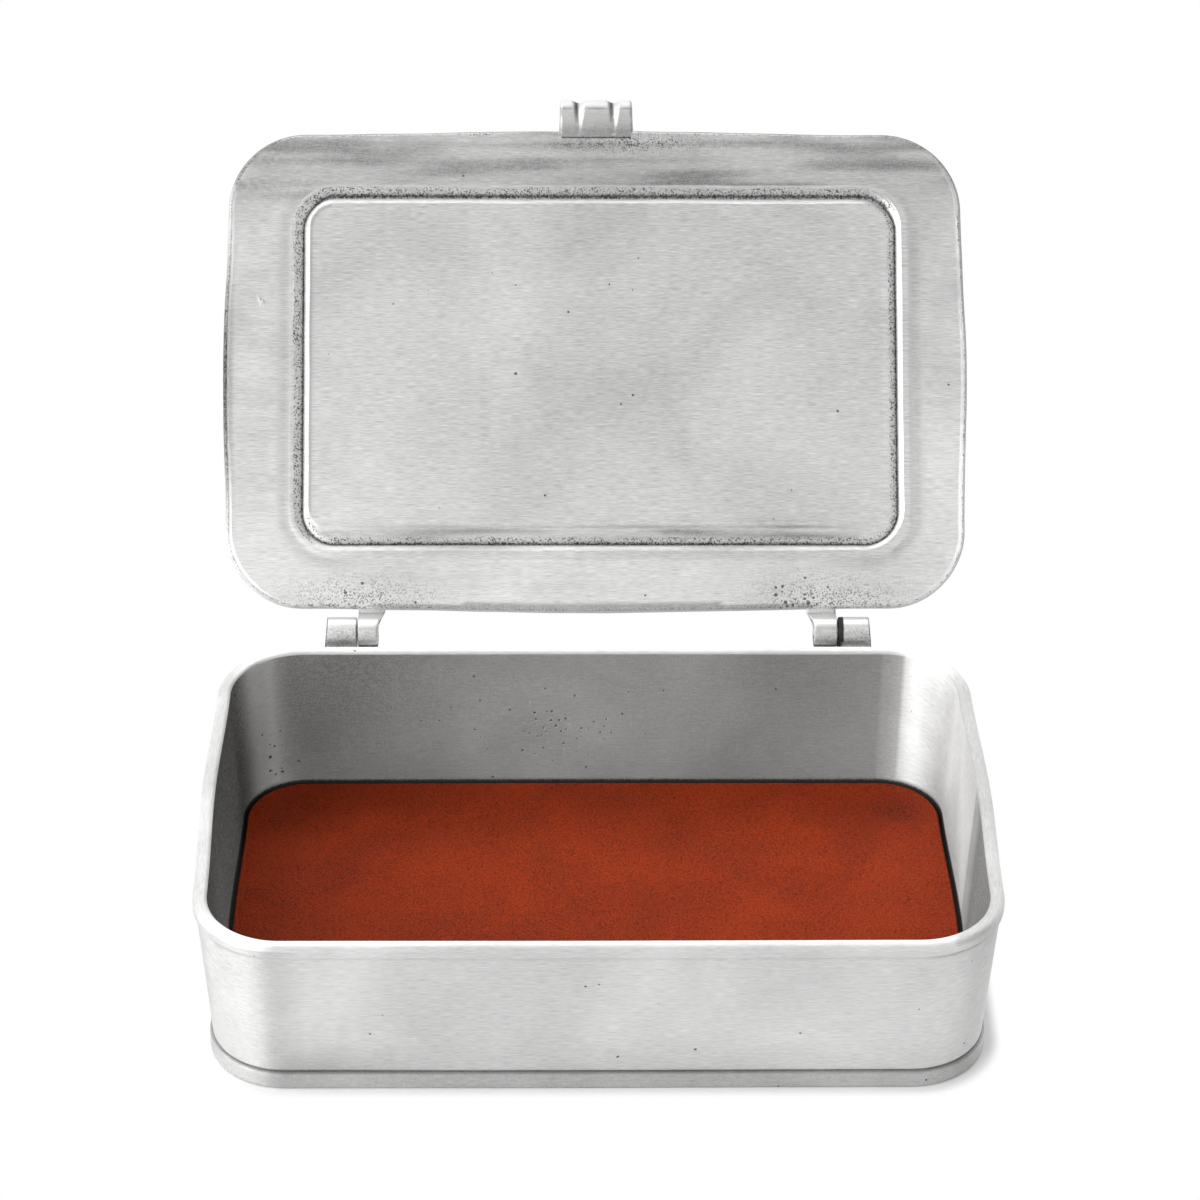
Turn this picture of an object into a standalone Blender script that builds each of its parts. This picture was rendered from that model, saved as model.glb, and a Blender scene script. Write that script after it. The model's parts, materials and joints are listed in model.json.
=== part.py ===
"""Pewter lidded box: a cast body with a leather-lined floor, and a lid on two small hinges.

Metres, +Z up. The origin is the middle of the foot, on the surface that the box stands on.
+X runs along the width and +Y points to the hinge side. The lid is drawn shut, in the frame
of its hinge axis, and is then turned open about that axis.
"""
import math

import bmesh
import bpy
from mathutils import Vector

# Fits
joint_gap = 0.0003          # left between pieces that are soldered, laid or pinned together
bore_clearance = 0.0003     # round a pin in its bore
cut_overrun = 0.001         # how far a cutter passes the face that it cuts

# Body: plan of the rim, which is its widest level
body_width = 0.140
body_depth = 0.0914
body_height = 0.032
corner_radius = 0.0155
side_bow = 0.00065          # how far each short side swells out at its middle
front_bow = 0.0001          # and each long side

# Rim: a rounded band round the mouth
rim_width = 0.0025
rim_band_height = 0.0022
rim_proud = 0.0005          # how far the band stands out from the wall
rim_step_height = 0.0003    # the slope under the band
rim_outer_round = 0.0010
rim_inner_round = 0.0008

# Wall: drawn in towards the foot
wall_outer_draft = 0.0017
wall_inner_draft = 0.0012

# Base plate: foot band, seat for the wall, and floor
foot_height = 0.0032
foot_inset = 0.0017         # from the rim's outline
foot_round = 0.0004
foot_top_round = 0.0003
seat_width = 0.0026
floor_thickness = 0.0018

# Leather liner
leather_thickness = 0.0014
leather_inset = 0.0047      # from the rim's outline
leather_round = 0.0004

# Lid shell, with the channel that frames its panel
lid_overhang = 0.0007       # past the rim, all round
lid_shift = 0.0005          # the lid and its hinges sit to the right of the body's middle
lid_thickness = 0.0021
lid_corner_radius = 0.0149
lid_bow = 0.0008            # how far each side swells out at its middle
lid_edge_round = 0.0009
side_border = 0.0146        # from the lid's edge to the middle of the channel
front_border = 0.0126
back_border = 0.0138
channel_radius = 0.0063     # corner radius at the middle of the channel
channel_depth = 0.0010
channel_floor_width = 0.0013
channel_mouth_width = 0.0036
lip_height = 0.00025        # a soft lip on each side of the channel
lip_width = 0.0007
lip_fade = 0.0010
ridge_height = 0.0011       # the moulding that the channel makes on the lid's top
ridge_top_width = 0.0014
ridge_foot_width = 0.0052

# Hinges
hinge_setback = 0.0045      # axis behind the middle of the rim's back edge
hinge_drop = 0.0002         # axis below the rim's top
hinge_inset = 0.0253        # from the body's half width in to the outer face of the lid's knuckle
knuckle_radius = 0.00285
knuckle_chamfer = 0.00025
lid_knuckle_width = 0.0037
body_knuckle_width = 0.0053
left_side_play = 0.00045    # between the two knuckles of the left hinge
right_side_play = 0.0013
tongue_thickness = 0.0019   # the lid's knuckle runs into the lid's edge by this tongue
tongue_flare = 0.0014
strap_drop = 0.0125         # the body's knuckle runs down the wall by this strap
strap_toe = 0.0012
strap_flare = 0.0016        # how much wider the strap is at its toe than the barrel, on its outer side
pin_radius = 0.0009
pin_chamfer = 0.0002
lid_open_degrees = 129.5    # from shut to where the lid rests

# Thumb piece, on the lid's front edge
thumb_width = 0.0146
thumb_tip_width = 0.0140
thumb_straight = 0.0022
thumb_curl_radius = 0.0040
thumb_curl_degrees = 60.0
thumb_thickness = 0.0020
thumb_tip_thickness = 0.0015
thumb_side_round = 0.0005
thumb_tip_round = 0.0006
thumb_groove_width = 0.0027
thumb_groove_depth = 0.0006
thumb_groove_place_share = 0.235    # of the width, from the middle to each groove
thumb_groove_start_share = 0.12     # of its full size, that a groove has at the lid's edge

# Facets
corner_steps = 8
side_steps = 6
round_steps = 4
knuckle_steps = 28
bore_sides = 28
pin_sides = 24
thumb_steps = 9

# Worked out from the sizes above
half_width = body_width / 2
half_depth = body_depth / 2
wall_bottom = foot_height + joint_gap
band_bottom = body_height - rim_band_height
leather_bottom = floor_thickness + joint_gap
bore_radius = pin_radius + bore_clearance
axis_y = half_depth + hinge_setback
axis_z = body_height - hinge_drop
lid_half_width = half_width + lid_overhang
lid_half_depth = half_depth + lid_overhang
lid_under = body_height + joint_gap
hinge_reach = half_width - hinge_inset
body_bows = (side_bow, front_bow)
lid_bows = (lid_bow, lid_bow)
channel_bows = (0.0, 0.0)


def side_lift(share, bow):
    """How far a side swells at a share of its half length, from 0 in the middle to 1 at the corner."""
    return bow * (1 + math.cos(math.pi * share)) / 2


def plan_ring(half_x, half_y, radius, bows, height, middle_y=0.0):
    """A rounded rectangle at one height, anticlockwise from the right. Its short and long sides bow out."""
    corner_x = half_x - bows[0] - radius
    corner_y = half_y - bows[1] - radius
    back = (corner_x, bows[1])
    left = (corner_y, bows[0])
    quarters = (((1, 1), back), ((-1, 1), left), ((-1, -1), back), ((1, -1), left))
    ring = []
    for quarter, ((sign_x, sign_y), (half_side, bow)) in enumerate(quarters):
        start = quarter * math.pi / 2
        for step in range(corner_steps + 1):
            angle = start + math.pi / 2 * step / corner_steps
            x = sign_x * corner_x + radius * math.cos(angle)
            y = sign_y * corner_y + radius * math.sin(angle)
            ring.append(Vector((x, y + middle_y, height)))
        along = Vector((-math.sin(start + math.pi / 2), math.cos(start + math.pi / 2), 0))
        outward = Vector((math.cos(start + math.pi / 2), math.sin(start + math.pi / 2), 0))
        first = ring[-1].copy()
        for step in range(1, side_steps):
            share = step / side_steps
            lift = side_lift(2 * share - 1, bow)
            ring.append(first + along * (2 * half_side * share) + outward * lift)
    return ring


def body_ring(inset, height):
    """A level of the body, drawn in from the rim's outline."""
    return plan_ring(half_width - inset, half_depth - inset, corner_radius - inset, body_bows, height)


def lid_ring(inset, height):
    """A level of the lid's edge, in the frame of the hinge axis with the lid shut."""
    return plan_ring(lid_half_width - inset, lid_half_depth - inset, lid_corner_radius - inset,
                     lid_bows, lid_under + height - axis_z, -axis_y)


def channel_ring(offset, height):
    """A level of the channel's outline, moved out from the middle of the channel."""
    half_x = lid_half_width - side_border + offset
    half_y = lid_half_depth - (front_border + back_border) / 2 + offset
    middle = (front_border - back_border) / 2 - axis_y
    return plan_ring(half_x, half_y, channel_radius + offset, channel_bows, lid_under + height - axis_z, middle)


def back_edge(x, half_x, half_y, radius, bows):
    """How far back an outline reaches at a place x along its straight back side."""
    half_side = half_x - bows[0] - radius
    share = min(abs(x) / half_side, 1.0)
    return half_y - bows[1] + side_lift(share, bows[1])


def arc_points(centre, radius, start_degrees, end_degrees, steps):
    """Points of an arc in a plane, both ends included."""
    points = []
    for step in range(steps + 1):
        angle = math.radians(start_degrees + (end_degrees - start_degrees) * step / steps)
        points.append((centre[0] + radius * math.cos(angle), centre[1] + radius * math.sin(angle)))
    return points


def inset_loop(points, distance):
    """Moves each side of an anticlockwise loop of points inwards by one distance."""
    count = len(points)
    moved = []
    for index in range(count):
        before = Vector(points[index - 1])
        here = Vector(points[index])
        after = Vector(points[(index + 1) % count])
        first = (here - before).normalized()
        second = (after - here).normalized()
        normal = Vector((first.y + second.y, -first.x - second.x)).normalized()
        reach = distance / max(normal.dot(Vector((first.y, -first.x))), 0.5)
        moved.append(tuple(here - normal * reach))
    return moved


def finish(name, mesh_data, material, parent=None, location=(0.0, 0.0, 0.0), sharp_degrees=35.0):
    """Turns a bmesh into a smooth-shaded object with outward faces, in its place."""
    bmesh.ops.recalc_face_normals(mesh_data, faces=mesh_data.faces)
    mesh = bpy.data.meshes.new(name)
    mesh_data.to_mesh(mesh)
    mesh_data.free()
    mesh.shade_smooth()
    mesh.set_sharp_from_angle(angle=math.radians(sharp_degrees))
    piece = bpy.data.objects.new(name, mesh)
    bpy.context.scene.collection.objects.link(piece)
    if material is not None:
        mesh.materials.append(material)
    piece.parent = parent
    piece.location = location
    return piece


def loft(rings, closed=False):
    """Skins rings of points. A closed loft runs round to its first ring, an open one has flat caps."""
    skin = bmesh.new()
    loops = [[skin.verts.new(point) for point in ring] for ring in rings]
    count = len(loops[0])
    pairs = list(zip(loops, loops[1:]))
    if closed:
        pairs.append((loops[-1], loops[0]))
    for lower, upper in pairs:
        for index in range(count):
            following = (index + 1) % count
            skin.faces.new((lower[index], lower[following], upper[following], upper[index]))
    if not closed:
        skin.faces.new(list(reversed(loops[0])))
        skin.faces.new(loops[-1])
    return skin


def pewter(name, shade=1.0, roughness=0.36):
    """A grey metal finish, one for each piece."""
    return finish_material(name, (0.60 * shade, 0.595 * shade, 0.58 * shade), roughness, 1.0)


def finish_material(name, colour, roughness, metallic):
    """A plain Principled finish in the piece's own colour."""
    material = bpy.data.materials.new(name)
    material.use_nodes = True
    shader = material.node_tree.nodes["Principled BSDF"]
    shader.inputs["Base Color"].default_value = (*colour, 1.0)
    shader.inputs["Roughness"].default_value = roughness
    shader.inputs["Metallic"].default_value = metallic
    material.diffuse_color = (*colour, 1.0)
    return material


def make_body_wall():
    """The wall: out of the seat, up to the rim band, over its rounded top and down inside."""
    outer = [(rim_proud + wall_outer_draft, wall_bottom)]
    outer.append((rim_proud, band_bottom - rim_step_height))
    outer.append((0.0, band_bottom))
    over = arc_points((rim_outer_round, body_height - rim_outer_round), rim_outer_round, 180, 90, round_steps)
    inner_middle = (rim_width - rim_inner_round, body_height - rim_inner_round)
    down = arc_points(inner_middle, rim_inner_round, 90, 0, round_steps)
    inside = [(rim_width + wall_inner_draft, wall_bottom)]
    profile = outer + over + down + inside
    skin = loft([body_ring(inset, height) for inset, height in profile], closed=True)
    return finish("body_wall", skin, pewter("pewter_wall"))


def make_base_plate():
    """The foot band and the floor, with a shallow tray for the leather."""
    edge = arc_points((foot_inset + foot_round, foot_round), foot_round, 270, 180, round_steps)
    shoulder_middle = (foot_inset + foot_top_round, foot_height - foot_top_round)
    shoulder = arc_points(shoulder_middle, foot_top_round, 180, 90, round_steps)
    seat_inner = foot_inset + seat_width
    tray = [(seat_inner, foot_height), (seat_inner, floor_thickness)]
    skin = loft([body_ring(inset, height) for inset, height in edge + shoulder + tray])
    return finish("base_plate", skin, pewter("pewter_base", shade=0.95))


def make_leather_liner():
    """The liner: a thick piece of leather cut to the floor, with softened edges."""
    top = leather_bottom + leather_thickness
    under = [(leather_inset + leather_round, leather_bottom), (leather_inset, leather_bottom + leather_round)]
    over = arc_points((leather_inset + leather_round, top - leather_round), leather_round, 180, 90, round_steps)
    skin = loft([body_ring(inset, height) for inset, height in under + over])
    hide = finish_material("leather", (0.33, 0.075, 0.025), 0.62, 0.0)
    return finish("leather_liner", skin, hide)


def make_lid_shell(hinge):
    """The lid: its panel and border inside, the rounded edge, then the same moulding on its top."""
    half_floor = channel_floor_width / 2
    half_mouth = channel_mouth_width / 2
    crest = half_mouth + lip_width / 2
    fade = crest + lip_fade
    inside = [(-fade, 0.0), (-crest, -lip_height), (-half_mouth, 0.0), (-half_floor, channel_depth)]
    inside += [(half_floor, channel_depth), (half_mouth, 0.0), (crest, -lip_height), (fade, 0.0)]
    middle_low = (lid_edge_round, lid_edge_round)
    middle_high = (lid_edge_round, lid_thickness - lid_edge_round)
    edge = arc_points(middle_low, lid_edge_round, 270, 180, round_steps)
    edge += arc_points(middle_high, lid_edge_round, 180, 90, round_steps)
    half_top = ridge_top_width / 2
    half_foot = ridge_foot_width / 2
    ridge_level = lid_thickness + ridge_height
    above = [(half_foot, lid_thickness), (half_top, ridge_level), (-half_top, ridge_level), (-half_foot, lid_thickness)]
    rings = [channel_ring(offset, height) for offset, height in inside]
    rings += [lid_ring(inset, height) for inset, height in edge]
    rings += [channel_ring(offset, height) for offset, height in above]
    return finish("lid_shell", loft(rings), pewter("pewter_lid"), parent=hinge)


def thumb_station(share):
    """The middle line of the thumb piece at a share of its length, and the direction across it."""
    curl = math.radians(thumb_curl_degrees)
    length = thumb_straight + thumb_curl_radius * curl
    along = share * length
    if along <= thumb_straight:
        return Vector((0.0, -along, 0.0)), Vector((0.0, 0.0, 1.0))
    turned = (along - thumb_straight) / thumb_curl_radius
    forward = thumb_straight + thumb_curl_radius * math.sin(turned)
    rise = thumb_curl_radius * (1 - math.cos(turned))
    return Vector((0.0, -forward, rise)), Vector((0.0, math.sin(turned), math.cos(turned)))


def thumb_ring(share, thickness_share):
    """One cross-section of the thumb piece: three lobes parted by two grooves that widen to the tip."""
    middle, across = thumb_station(share)
    half = (thumb_width + (thumb_tip_width - thumb_width) * share) / 2
    thick = (thumb_thickness + (thumb_tip_thickness - thumb_thickness) * share) / 2 * thickness_share
    growth = thumb_groove_start_share + (1 - thumb_groove_start_share) * share
    groove = thumb_groove_width / 2 * growth
    depth = thumb_groove_depth * growth * thickness_share
    place = thumb_width * thumb_groove_place_share
    row = [(-half, thick / 2), (-half + thumb_side_round, thick), (-place - groove, thick), (-place, thick - depth)]
    row += [(-place + groove, thick), (0.0, thick)]
    row += [(-x, height) for x, height in reversed(row[:-1])]
    under = [Vector((x, 0.0, 0.0)) + middle - across * height for x, height in row]
    over = [Vector((x, 0.0, 0.0)) + middle + across * height for x, height in reversed(row)]
    return under + over


def make_thumb_piece(hinge):
    """The thumb piece: a tongue on the lid's front edge that curls up, away from the box."""
    length = thumb_straight + thumb_curl_radius * math.radians(thumb_curl_degrees)
    round_share = thumb_tip_round / length
    rings = [thumb_ring((1 - round_share) * step / thumb_steps, 1.0) for step in range(thumb_steps + 1)]
    for step in range(1, round_steps):
        turn = math.pi / 2 * step / round_steps
        rings.append(thumb_ring(1 - round_share * (1 - math.sin(turn)), math.cos(turn)))
    place = (0.0, -lid_half_depth - joint_gap - axis_y, lid_under + lid_thickness / 2 - axis_z)
    return finish("thumb_piece", loft(rings), pewter("pewter_thumb", shade=1.05), parent=hinge, location=place)


def body_knuckle_profile(x):
    """Side view of a body knuckle about the hinge axis: barrel, neck under the rim, strap down the wall."""
    slope = wall_outer_draft / (band_bottom - rim_step_height - wall_bottom)
    neck_height = band_bottom - rim_step_height - joint_gap
    toe_height = axis_z - strap_drop
    wall_top = back_edge(x, half_width - rim_proud, half_depth - rim_proud, corner_radius, body_bows)
    neck = (wall_top + joint_gap - axis_y, neck_height - axis_z)
    heel = (wall_top - slope * (neck_height - toe_height) + joint_gap - axis_y, -strap_drop)
    toe = (heel[0] + strap_toe, -strap_drop)
    distance = math.hypot(*toe)
    tangent = math.degrees(math.atan2(toe[1], toe[0]) + math.acos(knuckle_radius / distance))
    leave = math.degrees(math.atan2(neck[1], neck[0])) % 360
    barrel = arc_points((0.0, 0.0), knuckle_radius, tangent, leave, knuckle_steps)
    return barrel + [neck, heel, toe]


def lid_knuckle_profile(x):
    """Side view of a lid knuckle about the hinge axis, shut: barrel and tongue to the lid's edge."""
    edge = back_edge(x, lid_half_width, lid_half_depth, lid_corner_radius, lid_bows)
    end = edge + joint_gap - axis_y
    low = lid_under + (lid_thickness - tongue_thickness) / 2 - axis_z
    high = low + tongue_thickness
    start = 180 - math.degrees(math.asin(low / knuckle_radius))
    leave = 360 + 180 - math.degrees(math.asin(min(high / knuckle_radius, 1.0)))
    barrel = arc_points((0.0, 0.0), knuckle_radius, start, leave, knuckle_steps)
    return barrel + [(end, high), (end, low)]


def knuckle_rings(profile, width, side, inner_flares, outer_flares):
    """A profile drawn out along X with chamfered ends, where each of its points may flare at either end."""
    small = inset_loop(profile, knuckle_chamfer)
    levels = ((0.0, small), (knuckle_chamfer, profile), (width - knuckle_chamfer, profile), (width, small))
    rings = []
    for run, points in levels:
        inboard = run / width
        ring = []
        for (y, z), inner, outer in zip(points, inner_flares, outer_flares):
            along = run + inner * inboard - outer * (1 - inboard)
            ring.append(Vector((-side * along, y, z)))
        rings.append(ring)
    return rings


def round_bar(levels, side, sides):
    """A bar along X out of rounds, each given by its run from the start and its radius."""
    rings = []
    for run, radius in levels:
        circle = arc_points((0.0, 0.0), radius, 0, 360, sides)[:-1]
        rings.append([Vector((-side * run, y, z)) for y, z in circle])
    return loft(rings)


def drill(piece, width, side, parent, location):
    """Cuts the pin's bore through a knuckle with a round cutter, left out of the model itself."""
    levels = ((-cut_overrun, bore_radius), (width + cut_overrun, bore_radius))
    cutter = finish(piece.name + "_bore", round_bar(levels, side, bore_sides), None, parent=parent, location=location)
    cutter.hide_render = True
    cutter.display_type = "WIRE"
    cut = piece.modifiers.new("bore", "BOOLEAN")
    cut.operation = "DIFFERENCE"
    cut.object = cutter


def make_hinge(label, side, side_play, hinge):
    """One hinge: the lid's knuckle inboard, the body's knuckle outboard, and the pin through both."""
    lid_place = (side * hinge_reach, 0.0, 0.0)
    profile = lid_knuckle_profile(hinge_reach - lid_knuckle_width / 2)
    flat = [0.0] * len(profile)
    rings = knuckle_rings(profile, lid_knuckle_width, side, flat[2:] + [tongue_flare] * 2, flat)
    lid_piece = finish("lid_knuckle_" + label, loft(rings), pewter("pewter_lid_knuckle_" + label),
                       parent=hinge, location=lid_place)
    drill(lid_piece, lid_knuckle_width, side, hinge, lid_place)

    body_inner = hinge_reach + side_play
    body_outer = body_inner + body_knuckle_width
    body_place = (lid_shift + side * body_outer, axis_y, axis_z)
    profile = body_knuckle_profile(body_inner)
    lean = strap_flare / (knuckle_radius + strap_drop)
    flares = [lean * (knuckle_radius - z) for y, z in profile]
    rings = knuckle_rings(profile, body_knuckle_width, side, [0.0] * len(profile), flares)
    body_piece = finish("body_knuckle_" + label, loft(rings), pewter("pewter_body_knuckle_" + label),
                        location=body_place)
    drill(body_piece, body_knuckle_width, side, None, body_place)

    pin_length = lid_knuckle_width + side_play + body_knuckle_width
    steel = finish_material("steel_pin_" + label, (0.56, 0.56, 0.55), 0.25, 1.0)
    levels = ((0.0, pin_radius - pin_chamfer), (pin_chamfer, pin_radius))
    levels += ((pin_length - pin_chamfer, pin_radius), (pin_length, pin_radius - pin_chamfer))
    finish("hinge_pin_" + label, round_bar(levels, side, pin_sides), steel, location=body_place)


def clear_scene():
    """Removes whatever the scene holds before the box is made."""
    for old in list(bpy.data.objects):
        bpy.data.objects.remove(old, do_unlink=True)


def main():
    """Builds the box with its lid open at rest."""
    clear_scene()
    hinge = bpy.data.objects.new("lid_hinge", None)
    bpy.context.scene.collection.objects.link(hinge)
    hinge.location = (lid_shift, axis_y, axis_z)
    hinge.rotation_euler = (-math.radians(lid_open_degrees), 0.0, 0.0)
    make_body_wall()
    make_base_plate()
    make_leather_liner()
    make_lid_shell(hinge)
    make_thumb_piece(hinge)
    make_hinge("left", -1, left_side_play, hinge)
    make_hinge("right", 1, right_side_play, hinge)


main()
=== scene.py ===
# %% [markdown]
# # A pewter box with a hinged lid
#
# The box is cast pewter: a wall with a rounded rim, a foot, a lid whose inside has a moat-like channel round
# a plain panel, two small hinges, and a leather liner on the floor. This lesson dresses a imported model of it.
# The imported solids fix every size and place, and each cell swaps some of them for finer meshes with a finish.
# Lengths are in metres, and small sizes are written as a number times mm.

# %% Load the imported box
import json
import math

import bmesh
import bpy
from mathutils import Matrix, Vector, noise


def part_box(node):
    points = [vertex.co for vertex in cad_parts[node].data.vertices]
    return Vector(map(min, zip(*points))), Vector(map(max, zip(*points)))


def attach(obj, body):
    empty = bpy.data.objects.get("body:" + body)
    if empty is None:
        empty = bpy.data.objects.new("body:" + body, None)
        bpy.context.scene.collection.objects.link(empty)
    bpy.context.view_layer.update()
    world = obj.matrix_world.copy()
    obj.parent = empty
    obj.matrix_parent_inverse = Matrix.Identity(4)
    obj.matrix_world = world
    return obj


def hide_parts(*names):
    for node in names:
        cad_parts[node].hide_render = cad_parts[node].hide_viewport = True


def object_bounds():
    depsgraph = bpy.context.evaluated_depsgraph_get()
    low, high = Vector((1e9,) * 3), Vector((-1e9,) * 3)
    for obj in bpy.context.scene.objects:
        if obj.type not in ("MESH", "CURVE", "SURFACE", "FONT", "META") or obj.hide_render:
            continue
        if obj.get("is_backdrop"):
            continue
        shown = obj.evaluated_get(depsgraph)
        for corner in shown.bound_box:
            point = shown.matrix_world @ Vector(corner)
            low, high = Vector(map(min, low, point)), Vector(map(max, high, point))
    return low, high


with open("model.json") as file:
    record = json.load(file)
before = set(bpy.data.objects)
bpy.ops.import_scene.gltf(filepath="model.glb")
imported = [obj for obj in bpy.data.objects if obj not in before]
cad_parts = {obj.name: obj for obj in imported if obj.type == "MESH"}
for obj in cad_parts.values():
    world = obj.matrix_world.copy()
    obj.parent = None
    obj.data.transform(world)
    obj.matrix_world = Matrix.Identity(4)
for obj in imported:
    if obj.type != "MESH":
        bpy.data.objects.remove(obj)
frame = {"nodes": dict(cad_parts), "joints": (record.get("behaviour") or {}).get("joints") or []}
cad_low, cad_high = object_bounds()
mm = 0.001


def in_mm(sides):
    """Lengths in millimetres, rounded for printing."""
    return [round(side / mm, 1) for side in sides]


for node_name in sorted(frame["nodes"]):
    low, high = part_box(node_name)
    print(node_name, in_mm(high - low), "mm")

# %% [markdown]
# The camera comes first, because every later choice is judged through it. It was fitted to measured outlines
# of the box, so it is written as a place, three angles and a focal length in pixels of a 1200-pixel image.
# There is no shift and no depth of field, so other views can move it freely.

# %% Camera
image_pixels = 1200
focal_pixels = 3832.1
sensor_width_mm = 36.0
camera_place = Vector((-10.4168, -550.9567, 430.5598)) * mm
camera_pitch = 0.5772
camera_yaw = 0.0193
camera_roll = 0.0101

camera_data = bpy.data.cameras.new("camera")
camera_data.sensor_width = sensor_width_mm
camera_data.lens = focal_pixels / image_pixels * sensor_width_mm
camera_data.clip_start = 10 * mm
camera = bpy.data.objects.new("camera", camera_data)
bpy.context.scene.collection.objects.link(camera)
tilt = Matrix.Rotation(math.pi / 2 - camera_pitch, 4, "X")
camera_turn = Matrix.Rotation(-camera_yaw, 4, "Z") @ tilt @ Matrix.Rotation(camera_roll, 4, "Z")
camera.matrix_world = Matrix.Translation(camera_place) @ camera_turn
bpy.context.scene.camera = camera
print("lens", round(camera_data.lens, 2), "mm")

# %% [markdown]
# The lid's pieces are drawn shut, where their shape is easy to describe, and then turned open about the hinge
# axis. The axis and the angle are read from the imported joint, so the drawing and the moving model agree.

# %% Hinge frame
joint = frame["joints"][0]
axis_place = Vector(joint["pos_m"])
open_turn = -math.radians(joint["range_deg"][1])
lid_shift = sum(corner.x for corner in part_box("lid_shell")) / 2
axis_at_lid = Matrix.Translation((lid_shift, axis_place.y, axis_place.z))
shut_to_open = axis_at_lid @ Matrix.Rotation(open_turn, 4, "X")
print("lid turned by", round(math.degrees(open_turn), 1), "degrees")

# %% [markdown]
# Every outline here is a rounded rectangle whose sides swell out slightly, as hand-worked sides do. One
# function gives such a ring of points. Rings with equal counts of points can be skinned into a surface, and
# each point keeps its neighbours from ring to ring.

# %% Rings
corner_steps = 20
long_steps = 72
short_steps = 44


def plan_ring(half_x, half_y, radius, bows, height, middle=(0.0, 0.0)):
    """A rounded rectangle, anticlockwise from the right, with bows of its short and long sides."""
    corner_x = half_x - bows[0] - radius
    corner_y = half_y - bows[1] - radius
    quarters = (
        ((1, 1), corner_x, bows[1], long_steps),
        ((-1, 1), corner_y, bows[0], short_steps),
        ((-1, -1), corner_x, bows[1], long_steps),
        ((1, -1), corner_y, bows[0], short_steps),
    )
    ring = []
    for quarter, ((sign_x, sign_y), half_side, bow, steps) in enumerate(quarters):
        start = quarter * math.pi / 2
        for step in range(corner_steps + 1):
            angle = start + math.pi / 2 * step / corner_steps
            x = sign_x * corner_x + radius * math.cos(angle)
            y = sign_y * corner_y + radius * math.sin(angle)
            ring.append(Vector((x + middle[0], y + middle[1], height)))
        outward = Vector((math.cos(start + math.pi / 2), math.sin(start + math.pi / 2), 0.0))
        along = Vector((-outward.y, outward.x, 0.0))
        first = ring[-1].copy()
        for step in range(1, steps):
            share = step / steps
            lift = bow * (1 + math.cos(math.pi * (2 * share - 1))) / 2
            ring.append(first + along * (2 * half_side * share) + outward * lift)
    return ring


def between(ring_a, ring_b, share):
    """A ring part of the way from one ring to another."""
    return [a.lerp(b, share) for a, b in zip(ring_a, ring_b)]


def shrunk(ring, share, middle, height):
    """A ring drawn in towards a middle point, level with a height."""
    return [Vector((middle[0] + (p.x - middle[0]) * share, middle[1] + (p.y - middle[1]) * share, height))
            for p in ring]


def arc(centre, radius, start_degrees, end_degrees, steps):
    """Points of an arc in a plane, both ends included."""
    points = []
    for step in range(steps + 1):
        angle = math.radians(start_degrees + (end_degrees - start_degrees) * step / steps)
        points.append((centre[0] + radius * math.cos(angle), centre[1] + radius * math.sin(angle)))
    return points


print("points in a ring", len(plan_ring(1.0, 1.0, 0.1, (0.0, 0.0), 0.0)))

# %% [markdown]
# A skin over rings also needs a UV map in metres, because the brush lines of the finish run along U. On a
# flat row U and V are simply X and Y. On a row that goes round an edge, U is the way along the ring and V the
# way across it. The last face of each row runs up to the ring's whole length, so the seam isn't smeared.

# %% Skin rings into a mesh
def ring_lengths(ring):
    """The distance along a closed ring to each point, and its whole length at the end."""
    lengths = [0.0]
    for index in range(len(ring)):
        lengths.append(lengths[-1] + (ring[(index + 1) % len(ring)] - ring[index]).length)
    return lengths


def loft(rings, flat_rows=(), closed=False, capped=True):
    """Skins rings into a bmesh with a UV map in metres. Rows named in flat_rows take X and Y as their map."""
    skin = bmesh.new()
    chart = skin.loops.layers.uv.new("UVMap")
    loops = [[skin.verts.new(point) for point in ring] for ring in rings]
    count = len(rings[0])
    widest = max(rings, key=lambda ring: ring_lengths(ring)[-1])
    along = ring_lengths(widest)
    across = [0.0]
    for ring, following in zip(rings, rings[1:] + rings[:1]):
        across.append(across[-1] + sum((b - a).length for a, b in zip(ring, following)) / count)
    rows = list(range(len(rings) - 1)) + ([len(rings) - 1] if closed else [])
    for row in rows:
        lower = loops[row]
        upper = loops[(row + 1) % len(loops)]
        flat = row in flat_rows
        for index in range(count):
            following = (index + 1) % count
            face = skin.faces.new((lower[index], lower[following], upper[following], upper[index]))
            ends = ((index, row), (index + 1, row), (index + 1, row + 1), (index, row + 1))
            for corner, (place, level) in zip(face.loops, ends):
                spot = corner.vert.co
                corner[chart].uv = (spot.x, spot.y) if flat else (along[place], across[level])
    if capped and not closed:
        for cap in (skin.faces.new(list(reversed(loops[0]))), skin.faces.new(loops[-1])):
            for corner in cap.loops:
                corner[chart].uv = (corner.vert.co.x, corner.vert.co.y)
    return skin


print("ring and skin helpers ready")

# %% Finish a piece
def to_object(name, skin, material, place=None, sharp_degrees=40.0):
    """Turns a bmesh into a smooth-shaded object whose place is in its mesh."""
    bmesh.ops.recalc_face_normals(skin, faces=skin.faces)
    mesh = bpy.data.meshes.new(name)
    skin.to_mesh(mesh)
    skin.free()
    if place is not None:
        mesh.transform(place)
    mesh.shade_smooth()
    mesh.set_sharp_from_angle(angle=math.radians(sharp_degrees))
    mesh.materials.append(material)
    piece = bpy.data.objects.new(name, mesh)
    bpy.context.scene.collection.objects.link(piece)
    return piece


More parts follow.
